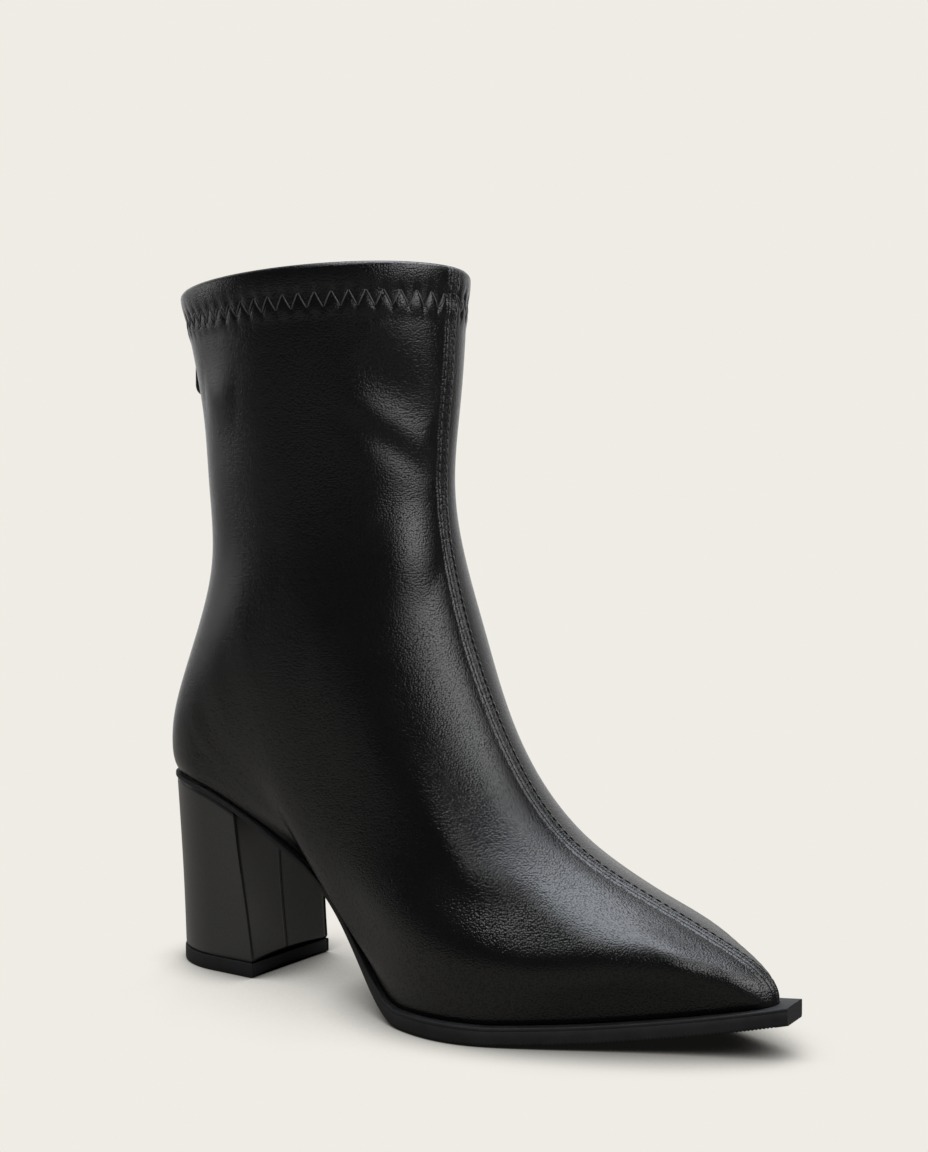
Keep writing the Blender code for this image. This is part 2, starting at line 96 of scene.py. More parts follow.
# The upper's sections from the collar down. Past the named columns are half widths at the stations, which are
# shares of a section's length from back to front
STATIONS = (0.1, 0.3, 0.5, 0.7, 0.85, 1.0)
RING_COLUMNS = (
    "back_x", "back_z", "front_x", "front_z", "dip", "lean", "follow", "back_round", "front_round",
    "inner_round", "gain",
)
RING_TABLE = (
    (7.8, 262.9, 129.0, 267.8, 0.0, 0.0, 0.0, 60.6, 60.6, 60.6, 0.0, 44.6, 44.6, 44.6, 44.6, 44.6, 44.6),
    (11.6, 246.0, 128.2, 250.0, 0.0, 0.0, 0.0, 58.0, 58.0, 58.0, 0.0, 43.0, 43.0, 43.0, 43.0, 43.0, 43.0),
    (16.8, 219.0, 126.5, 221.0, 0.0, 0.0, 0.0, 54.8, 54.8, 54.8, 0.0, 39.6, 39.6, 39.6, 39.6, 39.6, 39.6),
    (18.6, 190.0, 124.4, 190.0, 0.0, 0.0, 0.0, 52.8, 52.8, 51.0, 0.0, 36.4, 36.4, 36.4, 36.4, 36.4, 36.4),
    (19.3, 164.0, 126.8, 163.0, 0.02, 0.0, 0.0, 52.0, 50.0, 40.0, 0.1, 34.2, 34.2, 34.4, 34.6, 34.8, 34.8),
    (14.5, 141.0, 136.3, 130.0, 0.1, 0.0, 0.0, 46.0, 45.0, 32.0, 0.15, 33.0, 34.0, 35.0, 35.0, 34.0, 32.0),
    (6.8, 120.0, 153.2, 93.4, 0.32, 0.1, 0.0, 38.0, 38.0, 29.0, 0.09, 31.6, 32.8, 34.4, 34.2, 32.0, 28.0),
    (0.6, 102.0, 180.4, 61.0, 0.62, 0.4, 0.1, 33.0, 30.0, 21.0, 0.12, 30.4, 31.2, 34.0, 36.0, 32.0, 24.0),
    (-1.3, 91.0, 211.2, 44.0, 0.84, 0.8, 0.35, 31.0, 22.0, 16.0, 0.12, 29.8, 30.5, 34.0, 40.0, 33.0, 19.0),
    (-1.1, 83.0, 238.7, 31.0, 0.95, 0.95, 0.65, 30.0, 13.0, 11.0, 0.1, 29.4, 30.0, 36.0, 41.0, 32.0, 18.0),
    (-0.2, 79.0, 250.0, 23.6, 0.985, 1.0, 0.9, 29.0, 8.0, 7.5, 0.06, 29.0, 29.0, 35.0, 41.0, 28.0, 14.0),
)

HEEL_COLUMNS = ("level", "back", "breast", "half", "round", "hollow")
HEEL_TABLE = (
    (0.0, 2.6, 51.4, 23.1, 28.0, 2.0),
    (0.35, 2.0, 49.2, 24.2, 28.5, 2.2),
    (0.75, 1.4, 47.2, 26.6, 29.0, 2.0),
    (1.0, 1.0, 46.4, 28.2, 29.0, 1.6),
)
LIFT_THICK = 5.4
LIFT_EDGE = 0.3
HEEL_EVEN = 0.35

# How finely the dressed upper is divided. Seam places are distances from the front seam's middle, rim rows
# are depths below the collar and foot rows are distances above the sole
FINE_STEPS = 1200
BACK_COLUMNS = 5
SIDE_COLUMNS = 186
SEAM_PLACES = (3.55, 3.2, 2.9, 2.65, 2.4, 2.1, 1.8, 1.45, 1.0, 0.65, 0.4, 0.18, 0.0)
RIM_ROWS = (0.0, 0.08, 0.3, 0.62, 1.0, 1.5)
HEM_ROW_STEP = 0.75
HEM_ROWS_END = 24.0
WALL_ROWS = 104
FOOT_ROWS = (4.0, 3.2, 2.4, 1.8, 1.3, 0.9, 0.5, 0.2, 0.0)
INNER_ROW_STEP = 3

# Points of a mesh that are closer than this are joined, in metres
WELD = 0.000004

# Lift of the hem above the plain wall, by depth below the collar
HEM_COLUMNS = ("depth", "lift")
HEM_TABLE = (
    (0.0, 0.8), (3.5, 1.0), (7.0, 0.8), (9.5, 0.5), (12.4, 0.35), (15.0, 0.5), (16.6, 0.42), (19.0, 0.1),
    (22.0, 0.0), (24.0, 0.0),
)
RIM_ROUND = 1.6

# The hem's zigzag: depths of its needle holes, and the groove under the thread as depth and width
ZIGZAG_TOP = 9.6
ZIGZAG_LOW = 15.8
ZIGZAG_CLEAR = 4.4
ZIGZAG_GROOVE = (0.32, 0.75)

# Puckers round the upper and lower needle holes: depth, how uneven they are, and reach of the holes and drags
PUCKER = 0.32
PUCKER_UNEVEN = 0.35
PUCKER_WAVES = (1.7, 0.61)
HOLE_REACH = (1.7, 1.9)
DRAG_SHARE = 0.25
DRAG_AWAY = (3.2, 3.4)
DRAG_REACH = (2.6, 3.0)
PUCKER_FADE = (1.5, 4.5)

# The edges of the leather at the zip and at the sole, where a roll is its depth and its reach up the wall
SLOT_EDGE_ROUND = 0.9
SLOT_TOLERANCE = 0.01
FOOT_TUCK = 0.45
FOOT_TUCK_RUN = 1.6
FOOT_ROLL = (1.1, 10.0)

# The front seam across its width: the raised band, the centre fold, the lip beside it (height, place, width)
# and the grooves under the two stitch rows
SEAM_HEIGHT = 0.45
SEAM_FADE = (2.35, 3.7)
SEAM_FOLD = (0.6, 0.42)
SEAM_LIP = (0.16, 0.95, 0.45)
SEAM_FOOT_FADE = (0.5, 4.0)
STITCH_ROW = 2.1
STITCH_GROOVE = (0.3, 0.42)

# Soft creases: half width across the crease, height (a trough is negative), and points on the leather
# along it
FOLDS = (
    # The pocket below the hem
    (12.0, -2.2, (
        (108.0, -31.0, 236.5), (112.0, -28.2, 231.5), (116.5, -22.8, 224.0), (121.2, -15.0, 216.0),
        (124.2, -7.0, 211.5),
    )),
    # The ridge and the trough at the ankle
    (6.0, 0.45, (
        (104.0, -32.5, 219.5), (112.0, -26.5, 213.0), (116.6, -21.7, 209.6), (121.0, -15.0, 204.5),
        (124.0, -6.0, 200.0),
    )),
    (5.5, -1.05, (
        (103.0, -31.5, 212.5), (113.6, -23.3, 205.0), (118.0, -18.0, 200.3), (122.0, -10.8, 194.5),
        (124.0, -5.1, 190.5),
    )),
    # The long swell above the instep
    (15.0, 2.1, ((112.0, -25.5, 170.0), (117.5, -21.0, 165.0), (122.5, -16.2, 160.5), (127.5, -8.0, 155.0))),
    # The bulge at the back, below the hem
    (10.0, 1.5, ((36.0, -31.5, 226.0), (44.5, -35.0, 222.5), (58.0, -38.5, 219.0))),
    # The trough on the vamp
    (7.0, -0.7, ((158.0, -37.0, 48.5), (168.0, -34.0, 46.5), (178.0, -30.5, 45.0), (187.0, -27.0, 44.0))),
    # The shoulder of the toe box
    (8.8, 3.0, (
        (160.0, -43.8, 29.4), (170.0, -40.4, 28.0), (182.5, -36.4, 26.4), (191.4, -32.3, 26.6),
        (204.0, -25.9, 28.4), (214.9, -19.9, 29.2), (227.3, -13.7, 27.4), (238.1, -6.8, 24.5),
    )),
)
FOLD_END_SHARE = 0.25

# The lining inside the leather
LINING_TOP = 13.0
LINING_CLEAR = 0.06
LINING_ROW_STEP = 3
LINING_SLOT_COLUMN = 6

# Stitches. A thread dips under the leather at both ends. An arch is its lowest place and its rise, in radii
# of the thread, and a power that is lower for a squarer arch
THREAD_SIDES = 7
THREAD_ENDS = 0.6
THREAD_FLAT = 0.85
STITCH_POINTS = 7
STITCH_LEAD = 0.15
STITCH_ARCH = (-1.2, 1.75, 0.45)
SEAM_STITCH_START = 2
SEAM_STITCH_END = 6
ZIP_STITCH_ROW = 6.9
ZIP_STITCH_TOP = 3.0
ZIGZAG_POINTS = 11
ZIGZAG_ARCH = (-1.3, 1.9, 0.4)
ZIGZAG_END = 0.2

# The sole's edge from top to bottom: share of the thickness, how far it is drawn in, and share of the ribs
SOLE_EDGE = (
    (0.0, 0.6, 0.0), (0.015, 0.3, 0.0), (0.05, 0.08, 0.0), (0.1, 0.0, 0.0), (0.17, 0.0, 0.0),
    (0.2, 0.14, 0.0), (0.23, 0.0, 0.0), (0.5, 0.0, 0.0), (0.8, 0.0, 0.0), (0.92, 0.1, 0.6), (1.0, 0.45, 1.0),
)
SEAT_STATIONS = 40
WAIST_STEP = 1.2
TREAD_START = 116.0
TREAD_POINTS = 4
TREAD_FADE_IN = 6.0
TREAD_FADE_OUT = (5.0, 3.0)
RIB_INSET = 0.5

# The heel. Breast places are distances from its middle seam at the lift, levels are shares of its height, and
# the crease beside each front corner is its depth, its place and its width
HEEL_STATIONS = 60
BREAST_PLACES = (
    0.0, 0.15, 0.3, 0.5, 0.8, 1.5, 3.0, 5.0, 8.0, 11.0, 14.0, 17.0, 19.5, 21.0, 21.8, 22.2, 22.5, 22.8, 23.1,
)
BREAST_POINTS = 2 * len(BREAST_PLACES) - 3
HEEL_SEAM = 0.7
HEEL_SEAM_WIDTH = 0.34
HEEL_SEAM_FADE = (0.88, 0.93)
HEEL_CORNER = (0.4, 0.75, 0.4)
HEEL_CREASE = 0.35
HEEL_TOP_CREASE = (0.982, 1.0)
HEEL_LOW_CREASE = (0.0, 0.016)
HEEL_EDGE_LEVELS = (0.006, 0.014, 0.986, 0.994)

# Levels of the lift and the insole: height, and how far the edge is drawn in there
LIFT_LEVELS = ((5.4, 0.35), (5.2, 0.1), (4.9, 0.0), (0.5, 0.0), (0.15, 0.15), (0.0, 0.5))
INSOLE_LEVELS = ((2.2, 2.4), (2.15, 1.2), (1.95, 0.5), (1.5, 0.1), (1.0, 0.0), (0.0, 0.0))
INSOLE_INSET = 2.7
INSOLE_TIP_X = 244.0

# The zip. Places in a section are distances to the side and rise out of the upper's back line
TAPE_SECTION = (
    (0.03, -1.6), (4.7, -1.6), (4.8, -1.45), (4.8, -1.05), (4.7, -0.9), (0.75, -0.85), (0.5, -0.75),
    (0.03, -1.0),
)
TAPE_TOP = 1.0
TAPE_END = 150.9
TAPE_ROWS = 110
TOOTH_RADIUS = 0.36
TOOTH_PATH = (
    (2.2, -0.95), (2.05, -0.35), (1.7, 0.02), (1.1, 0.12), (0.4, 0.12), (-0.15, 0.02), (-0.45, -0.35),
)
TOOTH_SKEW = 0.35
TEETH_CLEAR = 1.0

# The slider in its own axes: its plate's outline (across, up) and levels (rise, drawn in), and its crown's
# box and window (nearest, furthest, half height)
SLIDER_DEPTH = 8.5
COIL_CREST = 0.5
SLIDER_OUTLINE = (
    (-3.8, 4.6), (-3.0, 5.5), (3.0, 5.5), (3.8, 4.6), (3.6, -2.0), (2.6, -5.1), (-2.6, -5.1), (-3.6, -2.0),
)
SLIDER_LEVELS = ((0.0, 0.3), (0.25, 0.05), (0.5, 0.0), (1.1, 0.0), (1.4, 0.12), (1.6, 0.45))
CROWN_BOX = (1.45, 5.4, 4.2)
CROWN_CORNER = 1.9
CROWN_WINDOW = (1.75, 4.4, 2.5)
CROWN_HALF = 1.1
LOOP_POINTS = 72
CORNER_POINTS = 9

# The pull tab, measured from the bar that it hangs by. Its window is a half width, a top and a bottom, and
# its shoulders are drawn in and down
TAB_LENGTH = 26.5
TAB_HALF = 4.2
TAB_THICK = 1.5
TAB_WINDOW = (1.7, -0.75, -5.6)
TAB_TOP_HALF = 3.2
TAB_SHOULDER = (0.5, 0.4)
TAB_END_POINTS = 25
TAB_REACH = 3.0

# Softened edges of the crown and the tab: width, and the shares of it in the step and round the window
SOFT_EDGE = 0.3
SOFT_STEP = 0.3
SOFT_WINDOW = 0.6

# Corners sharper than this stay crisp, in degrees
RUBBER_CRISP = 40.0
WRAP_CRISP = 50.0
METAL_CRISP = 35.0

# Finishes. Scales are features in a metre. Drifts and glosses are shares of the colour and roughness that are
# set. A shine is a specular level, and a pair of them is for a grain's top and the hollow beside it
LEATHER_DRIFT = (0.8, 1.25)
LEATHER_GLOSS = (0.9, 1.12)
LEATHER_PATCHES = 55.0
PORES_IN_GRAIN = 2.6
GRAIN_UNEVEN = 0.85
GRAIN_REACH = (0.3, 0.75)
GRAIN_SHINE = (0.61, 0.39)
HEEL_LEATHER = {"roughness": 0.3, "grain": 0.0005, "depth": 0.00003, "shine": (0.9, 0.78)}
SOCK_LEATHER = {"roughness": 0.6, "grain": 0.0007, "depth": 0.00012, "shine": GRAIN_SHINE}
SOCK_SHADE = 0.9
RUBBER_DRIFT = (0.8, 1.4)
RUBBER_GLOSS = (0.88, 1.1)
RUBBER_SPECKLE = 1500.0
RUBBER_SCUFFS = 160.0
RUBBER_SHINE = 0.4
SOLE_ROUGHNESS = 0.62
LIFT_ROUGHNESS = 0.7
LIFT_SHADE = 0.9
CLOTH_DRIFT = (0.6, 1.3)
CLOTH_ROUGHNESS = (0.72, 0.92)
CLOTH_FUZZ = 900.0
CLOTH_SHINE = 0.3
CLOTH_SHEEN = 0.15
CLOTH_WAVES = 0.16
LINING_WEAVE = 0.0006
TAPE_WEAVE = 0.00045
THREAD_DRIFT = (0.7, 1.3)
THREAD_ROUGHNESS = (0.4, 0.6)
THREAD_TWIST = 2200.0
PAINT_DRIFT = (0.8, 1.25)
PAINT_WEAR = 700.0
PAINT_METALLIC = 0.35
NYLON_SHADE = 1.3
NYLON_ROUGHNESS = 0.42
SLIDER_ROUGHNESS = 0.34
TAB_ROUGHNESS = 0.3

# The stage, in metres
CAMERA_PLACE = (0.31705, -0.46765, 0.16943)
CAMERA_TURN_DEG = 33.7
CAMERA_DROP_DEG = 1.46
SENSOR = 36.0
FLOOR_RADIUS = 0.75
FLOOR_SIDES = 96
FLOOR_DROP = 0.0003
BOOT_MIDDLE = Vector((0.0, 0.0, 0.11))

# The floor's two painted shadows, darkened into its glow: reach, direction they open to, how dark, how light,
# and the shares of open sky that they change between
PAINTED_SHADOWS = (
    (0.034, (-0.06, -0.12, 1.0), 0.06, 1.0, 0.25, 0.84),
    (0.12, (-0.12, -0.05, 1.0), 0.12, 1.0, 0.15, 0.74),
)
SHADOW_SAMPLES = 16

# Softboxes: turn from +X and height above the horizon in degrees, distance, width, height, shape and colour
PLAIN_LIGHT = (1.0, 1.0, 1.0)
COOL_LIGHT = (0.88, 0.925, 1.0)
SOFTBOXES = {
    "top": (50.0, 80.0, 1.2, 1.22, 1.22, "ELLIPSE", COOL_LIGHT),
    "side": (-11.0, 24.0, 1.3, 1.05, 0.56, "RECTANGLE", PLAIN_LIGHT),
    "left": (-80.0, 54.5, 1.25, 0.3, 0.32, "RECTANGLE", PLAIN_LIGHT),
    "core": (11.0, 38.5, 1.25, 0.74, 0.5, "RECTANGLE", PLAIN_LIGHT),
    "fill": (-166.0, 16.0, 1.3, 0.5, 0.45, "RECTANGLE", PLAIN_LIGHT),
}

# Share of its width times its height that a softbox fills
LIT_SHARES = {"ELLIPSE": math.pi / 4, "RECTANGLE": 1}

# Brightness that the leather mirrors away from the softboxes. The floor's is graded from the heel to the toe,
# and each side of the room comes in between two cosines of the angle to it
FLOOR_MIRRORED = (0.4, 0.24)
FLOOR_GRADE = (-0.05, 0.15)
ROOM_FRONT = 0.07
ROOM_BACK = 0.8
ROOM_LEFT = 0.18
ROOM_BELOW = 0.3
BACK_LEVEL = 0.906
BACK_RISE = 0.423
BACK_EDGE = (0.6, 0.9)
LEFT_EDGE = (0.7, 0.99)
BELOW_EDGE = (0.0, 0.3)
BLACK = (0, 0, 0)
WHITE = (1, 1, 1)


# Shapes


def columns(names, rows):
    """A table's columns by name, with any columns past the names as one block called rest."""
    table = np.array(rows, float)
    named = {name: table[:, place] for place, name in enumerate(names)}
    named["rest"] = table[:, len(names):]
    return named


def spline(stations, values, at):
    """Natural cubic spline through the values (rows of a table, of any width), read at the given stations."""
    stations = np.asarray(stations, float)
    values = np.asarray(values, float)
    count = len(stations)
    flat = values.reshape(count, -1)
    step = np.diff(stations)
    slope = np.diff(flat, axis=0) / step[:, None]
    matrix = np.eye(count)
    right = np.zeros_like(flat)
    for row in range(1, count - 1):
        matrix[row, row - 1:row + 2] = (step[row - 1], 2 * (step[row - 1] + step[row]), step[row])
        right[row] = 6 * (slope[row] - slope[row - 1])
    bend = np.linalg.solve(matrix, right)
    at = np.clip(np.asarray(at, float), stations[0], stations[-1])
    left = np.clip(np.searchsorted(stations, at, side="right") - 1, 0, count - 2)
    width = step[left][:, None]
    after = (at - stations[left])[:, None] / width
    before = 1 - after
    curve = before * flat[left] + after * flat[left + 1]
    curve += ((before**3 - before) * bend[left] + (after**3 - after) * bend[left + 1]) * width**2 / 6
    return curve.reshape((len(at),) + values.shape[1:])


def round_end(distance, reach):
    """Share of the full half width at a distance from a rounded end."""
    return np.sqrt(1 - np.clip(1 - distance / reach, 0, 1) ** 2)


def edge_round(distance, radius):
    """How far a rounded edge is drawn in at a distance from it."""
    return radius * (1 - round_end(np.maximum(distance, 0), radius))


def ramp(value, start, end):
    """Smooth step from 0 at start to 1 at end."""
    share = np.clip((value - start) / (end - start), 0, 1)
    return share * share * (3 - 2 * share)


def bell(distance, width):
    """A smooth hump, 1 at no distance."""
    return np.exp(-((distance / width) ** 2))


def arch(share, radius, low, rise, square):
    """How high a thread of this radius stands along its own length."""
    return radius * (low + rise * np.sin(math.pi * share) ** square)


def run_length(points):
    """Length along a line of points, up to each of them."""
    return np.concatenate(([0], np.cumsum(np.linalg.norm(np.diff(points, axis=0), axis=1))))


SOLE = columns(SOLE_COLUMNS, SOLE_TABLE)
RINGS = columns(RING_COLUMNS, RING_TABLE)
HEEL = columns(HEEL_COLUMNS, HEEL_TABLE)
HEM = columns(HEM_COLUMNS, HEM_TABLE)


def sole(name, x):
    """One column of the sole's table at x, with the underside cut flat at the floor."""
    value = spline(SOLE["x"], SOLE[name], x)
    return np.maximum(value, 0) if name == "bottom" else value


def sole_top(x):
    """Height of the sole's upper face."""
    return sole("bottom", x) + sole("thick", x)


def sole_middle(x):
    """How far the sole's middle line stands to the inner side."""
    return (sole("inner", x) - sole("outer", x)) / 2


def sole_half(x):
    """Half the sole's width."""
    return (sole("inner", x) + sole("outer", x)) / 2


def feather_half(x):
    """Half the upper's width where it meets the sole."""
    return sole_half(x) - sole("margin", x)


def feather_line(share):
    """The upper's lower edge: x, reach to the outer side, reach to the inner side, and z."""
    x = UPPER_BACK_X + share * (UPPER_TIP_X - UPPER_BACK_X)
    ends = round_end(x - UPPER_BACK_X, SEAT_ROUND) * round_end(UPPER_TIP_X - x, TIP_ROUND)
    half = feather_half(x) * ends
    middle = sole_middle(x)
    return x, half - middle, half + middle, sole_top(x) + GAP


def table_ring(row, share):
    """One section of the ring table: x, reach to the outer side, reach to the inner side, and z."""
    if row == len(RING_TABLE):
        return feather_line(share)
    ring = {name: RINGS[name][row] for name in RING_COLUMNS}
    length = math.hypot(ring["front_x"] - ring["back_x"], ring["front_z"] - ring["back_z"])
    x = ring["back_x"] + share * (ring["front_x"] - ring["back_x"])
    own = spline(STATIONS, RINGS["rest"][row], share)
    half = ring["follow"] * feather_half(x) + (1 - ring["follow"]) * own
    half = half * round_end(share * length, ring["back_round"])
    outer = half * round_end((1 - share) * length, ring["front_round"])
    inner = half * round_end((1 - share) * length, ring["inner_round"]) * (1 + ring["gain"] * share**2)
    middle = ring["lean"] * sole_middle(x)
    below = feather_line(share)[3]
    arched = below - (below[0] + share * (below[-1] - below[0]))
    z = ring["back_z"] + share * (ring["front_z"] - ring["back_z"]) + ring["dip"] * arched
    return x, outer - middle, inner + middle, z


def ring_shares(row):
    """Where a section's columns stand: under the zip, along the side, and across the front seam."""
    fine = (1 - np.cos(np.linspace(0, math.pi, FINE_STEPS))) / 2
    x, outer, inner, z = table_ring(row, fine)
    run = run_length(np.stack((x, outer, z), axis=1))
    even = np.linspace(0, 1, SIDE_COLUMNS + 1)
    spread = (1 - ROUND_SHARE) * even + ROUND_SHARE * (1 - np.cos(math.pi * even)) / 2
    seam_foot = run[-1] - SEAM_HALF - SEAM_EDGE
    back = np.linspace(0, SLOT_HALF, BACK_COLUMNS + 1)[:-1]
    side = SLOT_HALF + spread * (seam_foot - SLOT_HALF)
    front = run[-1] - np.array(SEAM_PLACES)
    return np.interp(np.concatenate((back, side, front)), run, fine)


def both_sides(x, outer, inner, z):
    """A closed row of points: from the back along the outer side, then back along the inner side."""
    out = np.stack((x, -outer, z), axis=1)
    back = np.stack((x, inner, z), axis=1)[-2:0:-1]
    return np.concatenate((out, back))


def outward(points):
    """Unit normals of a grid of points whose rows are closed."""
    along = np.roll(points, -1, axis=1) - np.roll(points, 1, axis=1)
    down = np.gradient(points, axis=0)
    normal = np.cross(down, along)
    return normal / np.linalg.norm(normal, axis=2, keepdims=True)


@lru_cache(maxsize=None)
def base_wall():
    """The plain outer face as a grid.

    It holds points, normals, the depth of each row, the column at the front, and each point's distance from
    the back line, the seam and the sole."""
    rings = [table_ring(row, ring_shares(row)) for row in range(len(RING_TABLE) + 1)]
    sections = np.array([both_sides(*ring) for ring in rings])
    gaps = np.linalg.norm(np.diff(sections, axis=0), axis=2).mean(axis=1)
    section_depth = np.concatenate(([0], np.cumsum(gaps)))
    hem = np.arange(RIM_ROWS[-1] + HEM_ROW_STEP, HEM_ROWS_END, HEM_ROW_STEP)
    foot_rows = section_depth[-1] - np.array(FOOT_ROWS)
    middle = np.linspace(HEM_ROWS_END, foot_rows[0], WALL_ROWS + 1)[:-1]
    depth = np.concatenate((RIM_ROWS, hem, middle, foot_rows))
    points = spline(section_depth, sections, depth)
    front = points.shape[1] // 2
    step = np.linalg.norm(np.diff(points, axis=1, append=points[:, :1]), axis=2)
    start = np.zeros((len(points), 1))
    outer_run = np.hstack((start, np.cumsum(step[:, :front], axis=1)))
    inner_run = np.hstack((start, np.cumsum(step[:, front:][:, ::-1], axis=1)))
    back = np.hstack((outer_run, inner_run[:, 1:-1][:, ::-1]))
    inner_seam = inner_run[:, -1:] - inner_run
    seam = np.hstack((outer_run[:, -1:] - outer_run, inner_seam[:, 1:-1][:, ::-1]))
    fall = np.linalg.norm(np.diff(points, axis=0), axis=2)
    foot = np.vstack((np.cumsum(fall[::-1], axis=0)[::-1], np.zeros((1, points.shape[1]))))
    return {
        "points": points, "normals": outward(points), "depth": depth, "front": front,
        "back": back, "seam": seam, "foot": foot,
    }


def line_distance(points, line):
    """Distance of each point from a line of points, and the share of the line's length nearest to it."""
    line = np.array(line, float)
    run = run_length(line)
    best = np.full(points.shape[:-1], np.inf)
    share = np.zeros(points.shape[:-1])
    for place in range(len(line) - 1):
        along = line[place + 1] - line[place]
        reach = np.clip(((points - line[place]) @ along) / (along @ along), 0, 1)
        gap = np.linalg.norm(points - line[place] - reach[..., None] * along, axis=-1)
        nearer = gap < best
        best = np.where(nearer, gap, best)
        here = (run[place] + reach * (run[place + 1] - run[place])) / run[-1]
        share = np.where(nearer, here, share)
    return best, share


def fold_lift(points):
    """How far the soft creases lift the leather at each point."""
    lift = np.zeros(points.shape[:-1])
    for width, height, line in FOLDS:
        gap, share = line_distance(points, line)
        taper = FOLD_END_SHARE + (1 - FOLD_END_SHARE) * np.sin(math.pi * np.clip(share, 0, 1))
        lift += height * bell(gap, width) * taper
    return lift


def seam_lift(distance):
    """The front seam's section: a raised band with a centre fold, its lips and two stitch grooves."""
    band = SEAM_HEIGHT * (1 - ramp(distance, *SEAM_FADE))
    fold = SEAM_FOLD[0] * bell(distance, SEAM_FOLD[1])
    lip = SEAM_LIP[0] * bell(distance - SEAM_LIP[1], SEAM_LIP[2])
    groove = STITCH_GROOVE[0] * bell(distance - STITCH_ROW, STITCH_GROOVE[1])
    return band + lip - fold - groove


def zigzag_phase(pitch):
    """Zigzag stitches passed at each column, counted out from the seam on both sides."""
    wall = base_wall()
    row = np.searchsorted(wall["depth"], (ZIGZAG_TOP + ZIGZAG_LOW) / 2)
    return (wall["seam"][row] - ZIGZAG_CLEAR) / pitch


def pucker_lift(depth, phase, pitch):
    """How the zigzag thread draws the hem in round its needle holes."""
    swing = np.cos(2 * math.pi * phase)
    top = ((1 + swing) / 2) ** 3
    low = ((1 - swing) / 2) ** 3
    uneven = 1 + PUCKER_UNEVEN * np.sin(PUCKER_WAVES[0] * phase) * np.sin(PUCKER_WAVES[1] * phase + 1)
    from_top = depth - ZIGZAG_TOP
    from_low = depth - ZIGZAG_LOW
    holes = top * bell(from_top, HOLE_REACH[0]) + low * bell(from_low, HOLE_REACH[1])
    top_drag = top * bell(from_top + DRAG_AWAY[0], DRAG_REACH[0])
    low_drag = low * bell(from_low - DRAG_AWAY[1], DRAG_REACH[1])
    tall = ZIGZAG_LOW - ZIGZAG_TOP
    stroke = ZIGZAG_TOP + tall * (1 - np.abs(1 - 2 * (phase % 1)))
    slant = math.hypot(1, 2 * tall / pitch)
    groove = ZIGZAG_GROOVE[0] * bell((depth - stroke) / slant, ZIGZAG_GROOVE[1])
    return -PUCKER * uneven * (holes + DRAG_SHARE * (top_drag + low_drag)) - groove


@lru_cache(maxsize=None)
def leather_face(pitch):
    """The leather's outer face: points, normals, and the soft lift that the faces inside it follow too."""
    wall = base_wall()
    depth = wall["depth"][:, None]
    foot = wall["foot"]
    back = wall["back"]
    soft = fold_lift(wall["points"])
    hem = spline(HEM["depth"], HEM["lift"], np.minimum(wall["depth"], HEM["depth"][-1]))[:, None]
    seam = seam_lift(wall["seam"]) * ramp(foot, *SEAM_FOOT_FADE)
    puckers = pucker_lift(depth, zigzag_phase(pitch)[None, :], pitch) * ramp(wall["seam"], *PUCKER_FADE)
    tuck = FOOT_TUCK * (1 - ramp(foot, 0, FOOT_TUCK_RUN))
    roll = FOOT_ROLL[0] * np.clip(1 - foot / FOOT_ROLL[1], 0, 1) ** 2
    at_slot = (wall["points"][:, :1, 2] > SLOT_END_Z) & (back >= SLOT_HALF - SLOT_TOLERANCE)
    slot_edge = edge_round(back - SLOT_HALF, SLOT_EDGE_ROUND) * at_slot
    lift = soft + hem + seam + puckers - edge_round(depth, RIM_ROUND) - tuck - roll - slot_edge
    points = wall["points"] + wall["normals"] * lift[:, :, None]
    return {"points": points, "normals": outward(points), "soft": soft}


def wall_at(grid, row, column):
    """Points of a grid with closed rows at fractional rows and columns."""
    row_low = np.clip(np.floor(row).astype(int), 0, grid.shape[0] - 2)
    column_low = np.floor(column).astype(int)
    across = (column - column_low)[..., None]
    down = (row - row_low)[..., None]
    left = column_low % grid.shape[1]
    right = (column_low + 1) % grid.shape[1]
    high = grid[row_low, left] * (1 - across) + grid[row_low, right] * across
    low = grid[row_low + 1, left] * (1 - across) + grid[row_low + 1, right] * across
    return high * (1 - down) + low * down


def slot_row():
    """The row of the wall where the zip's slot ends."""
    return int(np.nonzero(base_wall()["points"][:, 0, 2] > SLOT_END_Z)[0][-1]) + 1


def picked_rows(first, last, step, wanted=()):
    """Every step-th row from first to last, with the wanted ones and the last among them."""
    return sorted(set(range(first, last, step)) | set(wanted) | {last})


def lining_columns(count):
    """Every second column on each side, with the one at the front seam."""
    half = list(range(0, count // 2, 2)) + [count // 2]
    other = [count - column for column in half[1:-1]]
    return half + other[::-1]


def seat_places(back, reach):
    """Places along x that follow the round of the heel seat."""
    return back + reach * (1 - np.cos(np.linspace(0, math.pi / 2, SEAT_STATIONS)))


def ladder_row(x, outer, inner, z, front=()):
    """A closed row with both sides at the same x, and any points of its front between them."""
    out = np.stack((x, -outer, z), axis=1)
    back = np.stack((x, inner, z), axis=1)[::-1]
    return np.concatenate((out, np.reshape(front, (-1, 3)), back))


def sole_row(x, half, z):
    """A closed row of this half width about the sole's middle line."""
    reach = np.maximum(half, 0)
    middle = sole_middle(x)
    return ladder_row(x, reach - middle, reach + middle, z)


